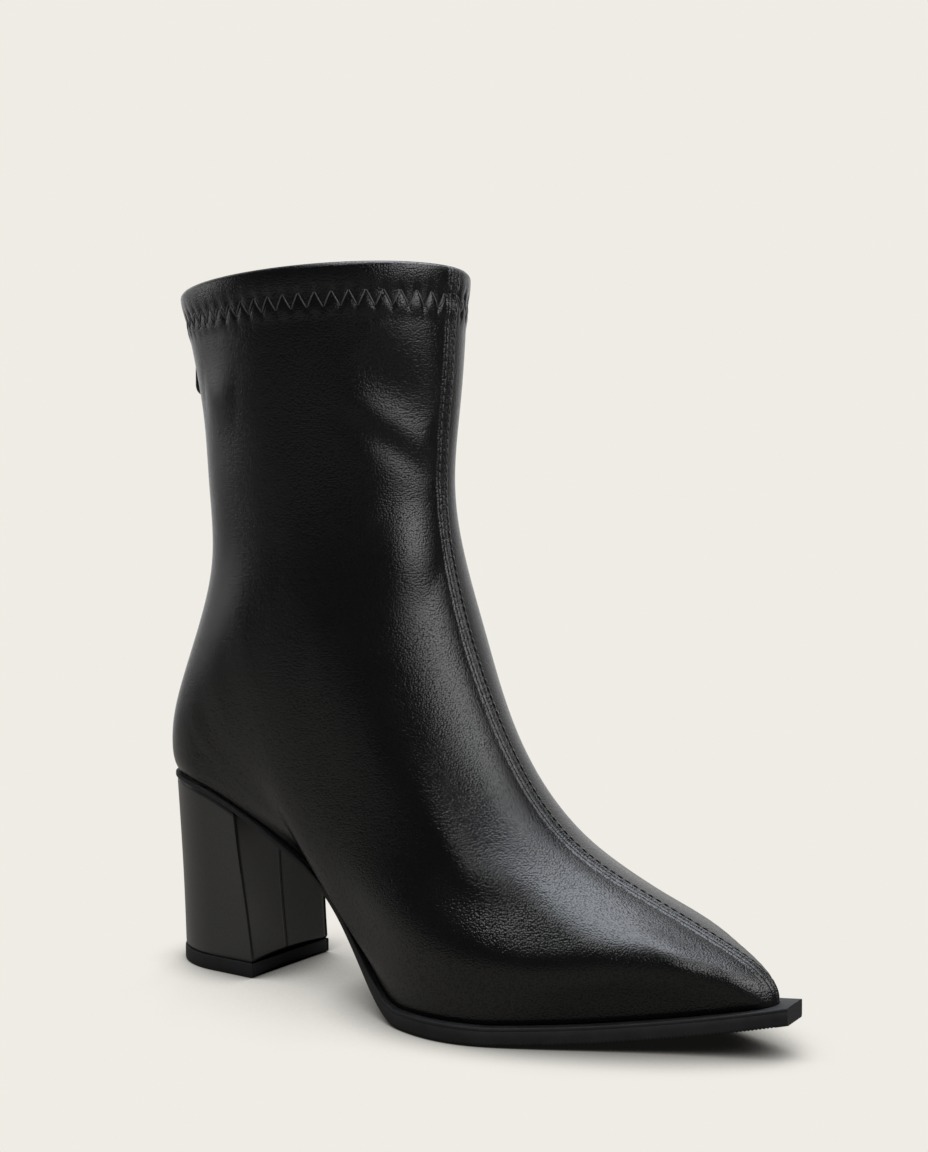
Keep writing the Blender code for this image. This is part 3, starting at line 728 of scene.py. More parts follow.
def heel_row(level, edge=0.0, seam=0.0):
    """One section of the heel in plan: x and half width of its sides, and x and y across its breast."""
    part = {name: spline(HEEL["level"], HEEL[name], [level])[0] for name in HEEL_COLUMNS}
    back = part["back"] - edge
    breast = part["breast"] + edge
    turn = np.linspace(0, 1, HEEL_STATIONS)
    spread = HEEL_EVEN * turn + (1 - HEEL_EVEN) * (1 - np.cos(math.pi / 2 * turn))
    x = back + (breast - back) * spread
    half = (part["half"] + edge) * round_end(x - back, part["round"])
    across = np.array(BREAST_PLACES) / BREAST_PLACES[-1]
    across = np.concatenate((-across[::-1], across[1:]))[1:-1]
    y = across * half[-1]
    depth, place, width = HEEL_CORNER
    hollow_x = breast - part["hollow"] * (1 - across**2)
    hollow_x = hollow_x - seam * bell(y, HEEL_SEAM_WIDTH)
    hollow_x = hollow_x - depth * bell(half[-1] - np.abs(y) - place, width)
    return x, half, hollow_x, y


def heel_layer(level, low, top, edge=0.0, seam=0.0):
    """A row of the heel's points at a level between a flat underside and a top that may slope."""
    x, half, hollow_x, hollow_y = heel_row(level, edge, seam)
    ceiling = top(x)
    slope = (ceiling[-1] - ceiling[-2]) / (x[-1] - x[-2])
    hollow_ceiling = ceiling[-1] + slope * (hollow_x - x[-1])
    z = low + level * (ceiling - low)
    hollow_z = low + level * (hollow_ceiling - low)
    front = np.stack((hollow_x, hollow_y, hollow_z), axis=1)
    return ladder_row(x, half, half, z, front)


def back_line(depth):
    """Points of the upper's back line at depths along it from the collar, and their outward directions."""
    points = base_wall()["points"][:, 0]
    run = run_length(points)
    at = spline(run, points, depth)
    tangent = spline(run, np.gradient(points, run, axis=0), depth)
    out = np.stack((tangent[:, 2], np.zeros(len(at)), -tangent[:, 0]), axis=1)
    return at, out / np.linalg.norm(out, axis=1, keepdims=True)


def zip_points(depth, side, rise):
    """Points beside the back line: depth along it, distance to the side, and rise out of it."""
    depth, side, rise = np.broadcast_arrays(depth, side, rise)
    at, out = back_line(np.ravel(depth))
    points = at + out * np.ravel(rise)[:, None]
    points[:, 1] += np.ravel(side)
    return points.reshape(depth.shape + (3,))


def slider_place(out, side, up):
    """Points in the slider's own axes, brought to the boot's."""
    at, direction = back_line([SLIDER_DEPTH])
    out_axis = direction[0]
    up_axis = np.array((-out_axis[2], 0, out_axis[0]))
    up_axis = up_axis * np.sign(up_axis[2])
    base = at[0] + out_axis * (COIL_CREST + GAP)
    out, side, up = np.broadcast_arrays(out, side, up)
    points = base + out[..., None] * out_axis + up[..., None] * up_axis
    points[..., 1] += side
    return points


def even_loop(line, count):
    """A closed outline resampled at even distances."""
    line = np.array(list(line) + [line[0]], float)
    run = run_length(line)
    at = np.linspace(0, run[-1], count, endpoint=False)
    return np.stack((np.interp(at, run, line[:, 0]), np.interp(at, run, line[:, 1])), axis=1)


def rounded_box(left, right, low, high, radius, count):
    """Points round a rectangle with rounded corners, evenly spread."""
    corners = (
        (right - radius, high - radius, 0), (left + radius, high - radius, 90),
        (left + radius, low + radius, 180), (right - radius, low + radius, 270),
    )
    line = []
    for across, up, start in corners:
        for turn in np.radians(np.linspace(start, start + 90, CORNER_POINTS)):
            line.append((across + radius * math.cos(turn), up + radius * math.sin(turn)))
    return even_loop(line, count)


def drawn_in(loop, inset):
    """A closed outline drawn in by a distance, for outlines that run counter-clockwise."""
    along = np.roll(loop, -1, axis=0) - np.roll(loop, 1, axis=0)
    inward = np.stack((-along[:, 1], along[:, 0]), axis=1)
    return loop + inset * inward / np.linalg.norm(inward, axis=1, keepdims=True)


def window_loop(outline, left, right, low, high):
    """Where rays from a rectangle's centre to an outline's points leave the rectangle."""
    centre = np.array(((left + right) / 2, (low + high) / 2))
    ray = outline - centre
    with np.errstate(divide="ignore"):
        across = np.where(ray[:, 0] > 0, (right - centre[0]) / ray[:, 0], (left - centre[0]) / ray[:, 0])
        up = np.where(ray[:, 1] > 0, (high - centre[1]) / ray[:, 1], (low - centre[1]) / ray[:, 1])
    return centre + ray * np.minimum(np.abs(across), np.abs(up))[:, None]


def framed_plate(outline, window, half):
    """Loops (outline, level) round a flat frame with softened edges, closed on themselves."""
    step = SOFT_EDGE * SOFT_STEP
    soft = SOFT_EDGE * SOFT_WINDOW
    return (
        (drawn_in(outline, SOFT_EDGE), half),
        (drawn_in(outline, step), half - step),
        (outline, half - SOFT_EDGE),
        (outline, SOFT_EDGE - half),
        (drawn_in(outline, step), step - half),
        (drawn_in(outline, SOFT_EDGE), -half),
        (drawn_in(window, -soft), -half),
        (window, soft - half),
        (window, half - soft),
        (drawn_in(window, -soft), half),
    )


# Meshes


def new_piece(name, points, faces, material, body, replaces=(), crisp=None):
    """A smooth shaded mesh from points in millimetres, riding on its body."""
    mesh = bpy.data.meshes.new(name)
    place = (np.asarray(points, float).reshape(-1, 3) - (MIDDLE_X, 0, 0)) * MM
    mesh.from_pydata(place.tolist(), [], [list(face) for face in faces])
    shape = bmesh.new()
    shape.from_mesh(mesh)
    bmesh.ops.remove_doubles(shape, verts=shape.verts, dist=WELD)
    loose = [vert for vert in shape.verts if not vert.link_faces]
    bmesh.ops.delete(shape, geom=loose, context="VERTS")
    bmesh.ops.recalc_face_normals(shape, faces=shape.faces)
    shape.to_mesh(mesh)
    shape.free()
    mesh.shade_smooth()
    if crisp is not None:
        mesh.set_sharp_from_angle(angle=math.radians(crisp))
    mesh.materials.append(material)
    made = bpy.data.objects.new(name, mesh)
    bpy.context.scene.collection.objects.link(made)
    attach(made, body)
    if replaces:
        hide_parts(*replaces)


def tube_faces(rows, count, start=0):
    """Faces between neighbouring closed rows of points, each with its row and column."""
    for row in range(rows - 1):
        for column in range(count):
            after = (column + 1) % count
            high = start + row * count
            low = high + count
            yield row, column, (high + column, low + column, low + after, high + after)


def open_tube(rows, count, start=0):
    """Faces of a tube of closed rows."""
    return [face for row, column, face in tube_faces(rows, count, start)]


def capped_tube(rows, count, start=0):
    """Faces of a tube of closed rows with one face over each end."""
    last = start + (rows - 1) * count
    caps = [tuple(range(first, first + count)) for first in (start, last)]
    return open_tube(rows, count, start) + caps


def ring_faces(loops, count, start=0):
    """Faces of loops that close on themselves both ways."""
    faces = open_tube(loops, count, start)
    last = start + (loops - 1) * count
    for column in range(count):
        after = (column + 1) % count
        faces.append((last + column, start + column, start + after, last + after))
    return faces


def ladder_faces(layers, stations, front=0):
    """Faces of a stack of closed rows whose two sides stand at the same stations, with both ends capped.

    front is the number of points between the two sides at the front of each row."""
    count = 2 * stations + front
    faces = open_tube(layers, count)
    for layer in (0, layers - 1):
        start = layer * count
        for step in range(stations - 2):
            inner = start + count - 1 - step
            faces.append((start + step, start + step + 1, inner - 1, inner))
        faces.append(tuple(range(start + stations - 2, start + stations + front + 2)))
    return faces


def shell(outer, inner, inner_rows, slot_end, slot_column):
    """A closed wall between an outer grid and an inner one that has only some of its rows.

    The first row of both is one shared edge. Above slot_end the wall is open between the slot's columns."""
    rows, count = outer.shape[:2]
    points = np.concatenate((outer.reshape(-1, 3), inner[1:].reshape(-1, 3)))
    start = rows * count

    def inner_vertex(place, column):
        """The number of an inner point, where the first row is the outer wall's own."""
        return column if place == 0 else start + (place - 1) * count + column

    def open_column(column):
        """Whether the slot takes up this column."""
        return column < slot_column or column >= count - slot_column

    def bridge(row, place, column):
        """A face from the outer wall to the inner one along a row."""
        here = column % count
        after = (column + 1) % count
        high = row * count
        return high + here, high + after, inner_vertex(place, after), inner_vertex(place, here)

    faces = []
    for row, column, face in tube_faces(rows, count):
        if not (row < slot_end and open_column(column)):
            faces.append(face)
    for place in range(len(inner_rows) - 1):
        first, last = inner_rows[place], inner_rows[place + 1]
        in_slot = first < slot_end
        for column in range(count):
            if in_slot and open_column(column):
                continue
            after = (column + 1) % count
            high = (inner_vertex(place, column), inner_vertex(place, after))
            low = (inner_vertex(place + 1, after), inner_vertex(place + 1, column))
            faces.append(high + low)
        if in_slot:
            for column in (slot_column, count - slot_column):
                edge = [row * count + column for row in range(first, last + 1)]
                edge.append(inner_vertex(place + 1, column))
                if place > 0:
                    edge.append(inner_vertex(place, column))
                faces.append(edge)
    faces += [bridge(rows - 1, len(inner_rows) - 1, column) for column in range(count)]
    slot_place = inner_rows.index(slot_end)
    faces += [bridge(slot_end, slot_place, column) for column in range(-slot_column, slot_column)]
    return points, faces


def threads(paths, normals, radius):
    """Tubes of thread along paths (stitches, points along, 3) that lie on a surface with these normals."""
    paths = np.asarray(paths, float)
    stitches, along = paths.shape[:2]
    forward = np.gradient(paths, axis=1)
    forward /= np.linalg.norm(forward, axis=2, keepdims=True)
    side = np.cross(forward, normals)
    side /= np.linalg.norm(side, axis=2, keepdims=True)
    up = np.cross(side, forward)
    share = np.linspace(0, 1, along)
    thick = radius * (THREAD_ENDS + (1 - THREAD_ENDS) * np.sin(math.pi * share) ** 0.5)
    turn = np.linspace(0, 2 * math.pi, THREAD_SIDES, endpoint=False)[:, None, None, None]
    ring = np.cos(turn) * side + THREAD_FLAT * np.sin(turn) * up
    points = paths[None] + ring * thick[None, None, :, None]
    points = points.transpose(1, 2, 0, 3)
    faces = []
    for stitch in range(stitches):
        faces += capped_tube(along, THREAD_SIDES, stitch * along * THREAD_SIDES)
    return points.reshape(-1, 3), faces


def stitch_rows(line, normals, pitch, length, radius):
    """Straight stitches along a line of points on the leather: their paths and normals."""
    run = run_length(line)
    count = int(run[-1] // pitch)
    starts = (np.arange(count) + STITCH_LEAD) * pitch
    share = np.linspace(0, 1, STITCH_POINTS)
    at = starts[:, None] + share[None, :] * length
    path = np.stack([np.interp(at, run, line[:, axis]) for axis in range(3)], axis=2)
    normal = np.stack([np.interp(at, run, normals[:, axis]) for axis in range(3)], axis=2)
    return path + normal * arch(share, radius, *STITCH_ARCH)[None, :, None], normal


# Materials


def new_material(name):
    """A material with nodes, its tree, its main shader and object coordinates in metres."""
    made = bpy.data.materials.new(name)
    made.use_nodes = True
    tree = made.node_tree
    place = add_node(tree, "ShaderNodeTexCoord").outputs["Object"]
    return made, tree, tree.nodes["Principled BSDF"], place


def add_node(tree, kind, settings=None, values=None):
    """A shader node with these settings and these values on its sockets."""
    made = tree.nodes.new(kind)
    for name, value in (settings or {}).items():
        setattr(made, name, value)
    for name, value in (values or {}).items():
        made.inputs[name].default_value = value
    return made


def noise(tree, place, scale, detail, rough=0.5):
    """Cloudy noise from 0 to 1."""
    values = {"Scale": scale, "Detail": detail, "Roughness": rough}
    made = add_node(tree, "ShaderNodeTexNoise", {"noise_dimensions": "3D"}, values)
    tree.links.new(place, made.inputs["Vector"])
    return made.outputs["Fac"]


def cells(tree, place, scale):
    """Distance from the middle of each pebble of a grain."""
    values = {"Scale": scale, "Randomness": GRAIN_UNEVEN}
    made = add_node(tree, "ShaderNodeTexVoronoi", {"feature": "F1"}, values)
    tree.links.new(place, made.inputs["Vector"])
    return made.outputs["Distance"]


def waves(tree, place, direction, scale):
    """Slightly wavering bands across one direction."""
    settings = {"wave_type": "BANDS", "bands_direction": direction}
    values = {"Scale": scale, "Distortion": 0.4, "Detail": 1.0}
    made = add_node(tree, "ShaderNodeTexWave", settings, values)
    tree.links.new(place, made.inputs["Vector"])
    return made.outputs["Fac"]


def combined(tree, operation, first, second):
    """Two values put through one step of arithmetic."""
    made = add_node(tree, "ShaderNodeMath", {"operation": operation})
    tree.links.new(first, made.inputs[0])
    tree.links.new(second, made.inputs[1])
    return made.outputs["Value"]


def between(tree, value, low, high, from_low=0.3, from_high=0.7):
    """A value brought from one range into another. The first suits noise, which keeps near its middle."""
    values = {"From Min": from_low, "From Max": from_high, "To Min": low, "To Max": high}
    made = add_node(tree, "ShaderNodeMapRange", {"clamp": True}, values)
    tree.links.new(value, made.inputs["Value"])
    return made.outputs["Result"]


def colour_sockets(sockets):
    """A mix node's sockets for colours, among those for other kinds of value."""
    return [socket for socket in sockets if socket.type == "RGBA"]


def mixed_colour(tree, value, first, second):
    """A colour between two, by a value from 0 to 1. The first may be another node's output."""
    made = add_node(tree, "ShaderNodeMix", {"data_type": "RGBA"})
    for socket, colour in zip(colour_sockets(made.inputs), (first, second)):
        if isinstance(colour, bpy.types.NodeSocket):
            tree.links.new(colour, socket)
        else:
            socket.default_value = (*colour, 1)
    tree.links.new(value, made.inputs["Factor"])
    return colour_sockets(made.outputs)[0]


def scaled(parts, share):
    """Each part of a colour or a range, times a share."""
    return tuple(part * share for part in parts)


def vary_colour(tree, shader, value, colour, drift):
    """Lets the colour drift between a darker and a lighter shade, by a value from 0 to 1."""
    mixed = mixed_colour(tree, value, scaled(colour, drift[0]), scaled(colour, drift[1]))
    tree.links.new(mixed, shader.inputs["Base Color"])


def vary_roughness(tree, shader, value, low, high):
    """Lets the roughness drift with noise."""
    tree.links.new(between(tree, value, low, high), shader.inputs["Roughness"])


def bump(tree, shader, height, strength, depth):
    """Adds relief, in metres, over what is there already. Below a depth of zero, high values are hollows."""
    values = {"Strength": strength, "Distance": abs(depth)}
    made = add_node(tree, "ShaderNodeBump", {"invert": depth < 0}, values)
    tree.links.new(height, made.inputs["Height"])
    normal = shader.inputs["Normal"]
    for link in normal.links:
        tree.links.new(link.from_socket, made.inputs["Normal"])
    tree.links.new(made.outputs["Normal"], normal)


def leather_material(name, colour, roughness, grain, depth, shine):
    """Smooth coated leather: pebble grain, fine pores, and slow changes of gloss."""
    made, tree, shader, place = new_material(name)
    reach = cells(tree, place, 1 / grain)
    pores = noise(tree, place, PORES_IN_GRAIN / grain, detail=3.0, rough=0.6)
    slow = noise(tree, place, LEATHER_PATCHES, detail=3.0)
    vary_colour(tree, shader, between(tree, slow, 0, 1), colour, LEATHER_DRIFT)
    vary_roughness(tree, shader, slow, *scaled(LEATHER_GLOSS, roughness))
    specular = shader.inputs["Specular IOR Level"]
    specular.default_value = sum(shine) / 2
    tree.links.new(between(tree, reach, *shine, *GRAIN_REACH), specular)
    bump(tree, shader, slow, strength=0.12, depth=0.0006)
    bump(tree, shader, combined(tree, "MULTIPLY", reach, reach), strength=1.0, depth=-depth)
    bump(tree, shader, pores, strength=0.3, depth=depth * 0.3)
    return made


def rubber_material(name, colour, roughness):
    """Matte moulded rubber with a fine speckle and a few scuffs."""
    made, tree, shader, place = new_material(name)
    speckle = noise(tree, place, RUBBER_SPECKLE, detail=3.0, rough=0.7)
    scuff = noise(tree, place, RUBBER_SCUFFS, detail=4.0, rough=0.65)
    vary_colour(tree, shader, between(tree, scuff, 0, 1), colour, RUBBER_DRIFT)
    vary_roughness(tree, shader, scuff, *scaled(RUBBER_GLOSS, roughness))
    shader.inputs["Specular IOR Level"].default_value = RUBBER_SHINE
    bump(tree, shader, scuff, strength=0.15, depth=0.0003)
    bump(tree, shader, speckle, strength=0.45, depth=0.00008)
    return made


def woven_material(name, colour, pitch):
    """A close plain weave."""
    made, tree, shader, place = new_material(name)
    across, along = (waves(tree, place, direction, CLOTH_WAVES / pitch) for direction in ("X", "Z"))
    weave = combined(tree, "MULTIPLY", across, along)
    fuzz = noise(tree, place, CLOTH_FUZZ, detail=3.0, rough=0.7)
    vary_colour(tree, shader, weave, colour, CLOTH_DRIFT)
    vary_roughness(tree, shader, fuzz, *CLOTH_ROUGHNESS)
    shader.inputs["Specular IOR Level"].default_value = CLOTH_SHINE
    shader.inputs["Sheen Weight"].default_value = CLOTH_SHEEN
    bump(tree, shader, weave, strength=0.6, depth=pitch * 0.25)
    bump(tree, shader, fuzz, strength=0.2, depth=0.00005)
    return made


def thread_material(name, colour):
    """Twisted thread with a slight shine."""
    made, tree, shader, place = new_material(name)
    twist = noise(tree, place, THREAD_TWIST, detail=2.0, rough=0.6)
    vary_colour(tree, shader, between(tree, twist, 0, 1), colour, THREAD_DRIFT)
    vary_roughness(tree, shader, twist, *THREAD_ROUGHNESS)
    bump(tree, shader, twist, strength=0.5, depth=0.00008)
    return made


def painted_material(name, colour, roughness):
    """Black painted metal with fine wear in its gloss."""
    made, tree, shader, place = new_material(name)
    wear = noise(tree, place, PAINT_WEAR, detail=4.0, rough=0.65)
    vary_colour(tree, shader, between(tree, wear, 0, 1), colour, PAINT_DRIFT)
    vary_roughness(tree, shader, wear, *scaled(PAINT_DRIFT, roughness))
    shader.inputs["Metallic"].default_value = PAINT_METALLIC
    bump(tree, shader, wear, strength=0.12, depth=0.00005)
    return made


# Settings


class LeatherSettings(bpy.types.PropertyGroup):
    """The upper's leather and its lining."""

    thickness: FloatProperty(
        name="Leather thickness", description="Thickness of the upper's leather",
        default=0.0012, unit="LENGTH",
    )
    colour: FloatVectorProperty(
        name="Leather colour", description="Colour of the upper",
        default=(0.0028, 0.0028, 0.003), subtype="COLOR",
    )
    roughness: FloatProperty(
        name="Leather roughness", description="Lower is glossier",
        default=0.2, subtype="FACTOR",
    )
    grain: FloatProperty(
        name="Grain size", description="Distance between pebbles of the grain",
        default=0.0007, unit="LENGTH",
    )
    grain_depth: FloatProperty(
        name="Grain depth", description="Height of the grain",
        default=0.00011, unit="LENGTH",
    )
    lining_colour: FloatVectorProperty(
        name="Lining colour", description="Colour of the cloth inside",
        default=(0.02, 0.019, 0.019), subtype="COLOR",
    )
    lining_thickness: FloatProperty(
        name="Lining thickness", description="Thickness of the lining",
        default=0.0005, unit="LENGTH",
    )


class StitchSettings(bpy.types.PropertyGroup):
    """Thread and stitches."""

    colour: FloatVectorProperty(
        name="Thread colour", description="Colour of the thread",
        default=(0.065, 0.065, 0.067), subtype="COLOR",
    )
    radius: FloatProperty(
        name="Thread radius", description="Half the width of the thread",
        default=0.0003, unit="LENGTH",
    )
    pitch: FloatProperty(
        name="Stitch pitch", description="Distance between straight stitches",
        default=0.0031, unit="LENGTH",
    )
    length: FloatProperty(
        name="Stitch length", description="Length of a straight stitch",
        default=0.0024, unit="LENGTH",
    )
    zigzag_pitch: FloatProperty(
        name="Zigzag pitch", description="Distance between zigzag stitches on the hem",
        default=0.0062, unit="LENGTH",
    )


class SoleSettings(bpy.types.PropertyGroup):
    """The sole, its tread and the heel."""

    colour: FloatVectorProperty(
        name="Rubber colour", description="Colour of the sole",
        default=(0.016, 0.016, 0.017), subtype="COLOR",
    )
    tread_pitch: FloatProperty(
        name="Tread pitch", description="Distance between ribs under the forefoot",
        default=0.00115, unit="LENGTH",
    )
    tread_depth: FloatProperty(
        name="Tread depth", description="Depth of the grooves between ribs",
        default=0.0003, unit="LENGTH",
    )
    heel_colour: FloatVectorProperty(
        name="Heel colour", description="Colour of the leather on the heel",
        default=(0.009, 0.009, 0.0095), subtype="COLOR",
    )
    heel_levels: IntProperty(
        name="Heel levels", description="Rows of faces up the heel",
        default=40,
    )


class ZipSettings(bpy.types.PropertyGroup):
    """The back zip."""

    tooth_pitch: FloatProperty(
        name="Tooth pitch", description="Distance between teeth of one side",
        default=0.0015, unit="LENGTH",
    )
    tape_colour: FloatVectorProperty(
        name="Tape colour", description="Colour of the woven tape",
        default=(0.011, 0.011, 0.012), subtype="COLOR",
    )
    metal_colour: FloatVectorProperty(
        name="Metal colour", description="Colour of the slider and its pull",
        default=(0.02, 0.02, 0.021), subtype="COLOR",
    )


class StageSettings(bpy.types.PropertyGroup):
    """Floor, lights and camera."""

    backdrop: FloatVectorProperty(
        name="Backdrop colour", description="Colour of the floor and backdrop",
        default=(0.863, 0.839, 0.783), subtype="COLOR",
    )
    top_light: FloatProperty(
        name="Top light", description="Brightness of the softbox overhead",
        default=5.2,
    )
    side_light: FloatProperty(
        name="Side light", description="Brightness of the softbox before the toe",
        default=2.7,
    )
    left_light: FloatProperty(
        name="Left light", description="Brightness of the softbox beside the vamp",
        default=7.0,
    )
    core_light: FloatProperty(
        name="Core light", description="Brightness of the side softbox's middle",
        default=2.6,
    )
    fill_light: FloatProperty(
        name="Fill light", description="Brightness of the softbox behind the heel",
        default=1.3,
    )
    lens: FloatProperty(
        name="Lens", description="Focal length of the camera",
        default=48.206, unit="CAMERA",
    )


# Pieces


class BOOT_OT_upper(bpy.types.Operator):
    """Builds the leather upper with its hem, seam and creases, and the lining inside it"""

    bl_idname = "boot.upper"
    bl_label = "Leather Upper"

    def execute(self, context):
        settings = context.scene.boot_leather
        wall = base_wall()
        face = leather_face(context.scene.boot_stitch.zigzag_pitch / MM)
        thick = settings.thickness / MM
        end = slot_row()
        last = len(wall["depth"]) - 1
        rows = picked_rows(0, last, INNER_ROW_STEP, (*range(len(RIM_ROWS)), end))
        inside = face["soft"] - thick + edge_round(wall["depth"][:, None], RIM_ROUND)
        inner = (wall["points"] + wall["normals"] * inside[:, :, None])[rows]
        points, faces = shell(face["points"], inner, rows, end, BACK_COLUMNS)
        finish = (settings.roughness, settings.grain, settings.grain_depth, GRAIN_SHINE)
        leather = leather_material("black_leather", settings.colour, *finish)
        new_piece("upper_leather", points, faces, leather, BOOT, ("upper",))
        self.lining(settings, wall, face["soft"], thick)
        return {"FINISHED"}

    def lining(self, settings, wall, soft, thick):
        """A cloth shell inside the leather, from under the hem's turned edge to the insole."""
        first = int(np.searchsorted(wall["depth"], LINING_TOP))
        end = slot_row()
        rows = picked_rows(first, len(wall["depth"]) - 1, LINING_ROW_STEP, (end,))
        keep = lining_columns(wall["points"].shape[1])
        grids = []
        for offset in (thick + LINING_CLEAR, thick + LINING_CLEAR + settings.lining_thickness / MM):
            grid = wall["points"] + wall["normals"] * (soft - offset)[:, :, None]
            grids.append(grid[rows][:, keep])
        outer, inner = grids
        inner[0] = outer[0]
        slot_column = keep.index(LINING_SLOT_COLUMN)
        points, faces = shell(outer, inner, list(range(len(rows))), rows.index(end), slot_column)
        cloth = woven_material("lining_cloth", settings.lining_colour, LINING_WEAVE)
        new_piece("upper_lining", points, faces, cloth, BOOT)


class BOOT_OT_stitches(bpy.types.Operator):
    """Sews the front seam's two rows, the rows beside the zip and the hem's zigzag"""

    bl_idname = "boot.stitches"
    bl_label = "Stitches"

    def execute(self, context):
        settings = context.scene.boot_stitch
        thread = thread_material("black_thread", settings.colour)
        pitch = settings.zigzag_pitch / MM
        face = leather_face(pitch)
        for name, found in (
            ("front_seam_stitches", self.seam(settings, face)),
            ("zip_edge_stitches", self.zip_rows(settings, face)),
            ("hem_zigzag_stitches", self.zigzag(settings, face, pitch)),
        ):
            paths, normals = (np.concatenate(parts) for parts in zip(*found))
            points, faces = threads(paths, normals, settings.radius / MM)
            new_piece(name, points, faces, thread, BOOT)
        return {"FINISHED"}

    def straight(self, settings, face, rows, column):
        """Stitches down a line of fractional columns, one for each row."""
        rows = np.asarray(rows, float)
        line = wall_at(face["points"], rows, column)
        normals = wall_at(face["normals"], rows, column)
        return stitch_rows(line, normals, settings.pitch / MM, settings.length / MM, settings.radius / MM)

    def seam(self, settings, face):
        """The two rows beside the front seam's fold."""
        front = base_wall()["front"]
        rows = np.arange(SEAM_STITCH_START, len(face["points"]) - SEAM_STITCH_END)
        offset = len(SEAM_PLACES) - 1 - SEAM_PLACES.index(STITCH_ROW)
        places = (front - offset, front + offset)
        return [self.straight(settings, face, rows, np.full(len(rows), float(place))) for place in places]

    def zip_rows(self, settings, face):
        """The rows that hold the zip in its slot."""
        wall = base_wall()
        front = wall["front"]
        rows = np.arange(np.searchsorted(wall["depth"], ZIP_STITCH_TOP), slot_row() - 1)
        distance = wall["back"][rows, :front]
        column = np.array([np.interp(ZIP_STITCH_ROW, run, np.arange(front)) for run in distance])
        other = face["points"].shape[1] - column
        return [self.straight(settings, face, rows, place) for place in (column, other)]

    def zigzag(self, settings, face, pitch):
        """The hem's strokes, up and down in turn from the seam towards the zip on each side."""
        wall = base_wall()
        depth = wall["depth"]
        front = wall["front"]
        phase = zigzag_phase(pitch)
        share = np.linspace(0, 1, ZIGZAG_POINTS)
        rise = arch(share, settings.radius / MM, *ZIGZAG_ARCH)
        found = []
        for order in (np.arange(front, 0, -1), np.arange(front, face["points"].shape[1])):
            passed = phase[order]
            strokes = int(2 * (passed[-1] - ZIP_STITCH_ROW / pitch - ZIGZAG_END))
            for stroke in range(strokes):
                start, end = (ZIGZAG_LOW, ZIGZAG_TOP) if stroke % 2 else (ZIGZAG_TOP, ZIGZAG_LOW)
                column = np.interp((stroke + share) / 2, passed, order.astype(float))
                row = np.interp(start + share * (end - start), depth, np.arange(len(depth)))
                normal = wall_at(face["normals"], row, column)
                path = wall_at(face["points"], row, column) + normal * rise[:, None]
                found.append((path[None], normal[None]))
        return found


class BOOT_OT_sole(bpy.types.Operator):
    """Builds the rubber sole with its ribbed tread"""

    bl_idname = "boot.sole"
    bl_label = "Sole"

    def execute(self, context):
        settings = context.scene.boot_sole
        pitch = settings.tread_pitch / MM
        depth = settings.tread_depth / MM
        seat = seat_places(SOLE_BACK_X, SEAT_ROUND)
        waist = np.arange(seat[-1] + WAIST_STEP, TREAD_START, WAIST_STEP)
        tread = np.arange(TREAD_START, SOLE_TIP_X, pitch / TREAD_POINTS)
        x = np.concatenate((seat, waist, tread, [SOLE_TIP_X]))
        half = sole_half(x) * round_end(x - SOLE_BACK_X, SEAT_ROUND)
        top = sole_top(x)
        thick = sole("thick", x)
        rib = ((1 - np.cos(2 * math.pi * (x - TREAD_START) / pitch)) / 2) ** 2
        rib = rib * ramp(x, TREAD_START, TREAD_START + TREAD_FADE_IN)
        rib = rib * (1 - ramp(x, SOLE_TIP_X - TREAD_FADE_OUT[0], SOLE_TIP_X - TREAD_FADE_OUT[1]))
        rows = []
        for level, inset, share in SOLE_EDGE:
            groove = share * depth * rib
            rows.append(sole_row(x, half - inset - RIB_INSET * groove, top - level * thick + groove))
        faces = ladder_faces(len(rows), len(x))
        rubber = rubber_material("sole_rubber", settings.colour, SOLE_ROUGHNESS)
        new_piece("outsole_rubber", rows, faces, rubber, BOOT, ("outsole",), RUBBER_CRISP)
        return {"FINISHED"}


class BOOT_OT_heel(bpy.types.Operator):
    """Builds the leather covered block heel and the rubber lift under it"""

    bl_idname = "boot.heel"
    bl_label = "Heel"

    def execute(self, context):
        settings = context.scene.boot_sole
        even = np.linspace(0, 1, settings.heel_levels)
        levels = np.unique(np.concatenate((even, HEEL_EDGE_LEVELS)))
        rows = []
        for level in levels[::-1]:
            seam = HEEL_SEAM * (1 - ramp(level, *HEEL_SEAM_FADE))
            crease = HEEL_CREASE * (ramp(level, *HEEL_TOP_CREASE) + 1 - ramp(level, *HEEL_LOW_CREASE))
            rows.append(heel_layer(level, LIFT_THICK + GAP, lambda x: sole("bottom", x) - GAP, -crease, seam))
        faces = ladder_faces(len(rows), HEEL_STATIONS, BREAST_POINTS)
        leather = leather_material("heel_wrap", settings.heel_colour, **HEEL_LEATHER)
        new_piece("heel_wrap", rows, faces, leather, BOOT, ("heel_block",), WRAP_CRISP)
        self.lift(settings)
        return {"FINISHED"}

    def lift(self, settings):
        """The rubber piece under the heel."""
        rows = []
        for height, inset in LIFT_LEVELS:
            row = heel_layer(0.0, 0.0, np.zeros_like, LIFT_EDGE - inset)
            row[:, 2] = height
            rows.append(row)
        faces = ladder_faces(len(rows), HEEL_STATIONS, BREAST_POINTS)
        rubber = rubber_material("lift_rubber", scaled(settings.colour, LIFT_SHADE), LIFT_ROUGHNESS)
        new_piece("heel_lift", rows, faces, rubber, BOOT, ("heel_top_lift",), RUBBER_CRISP)


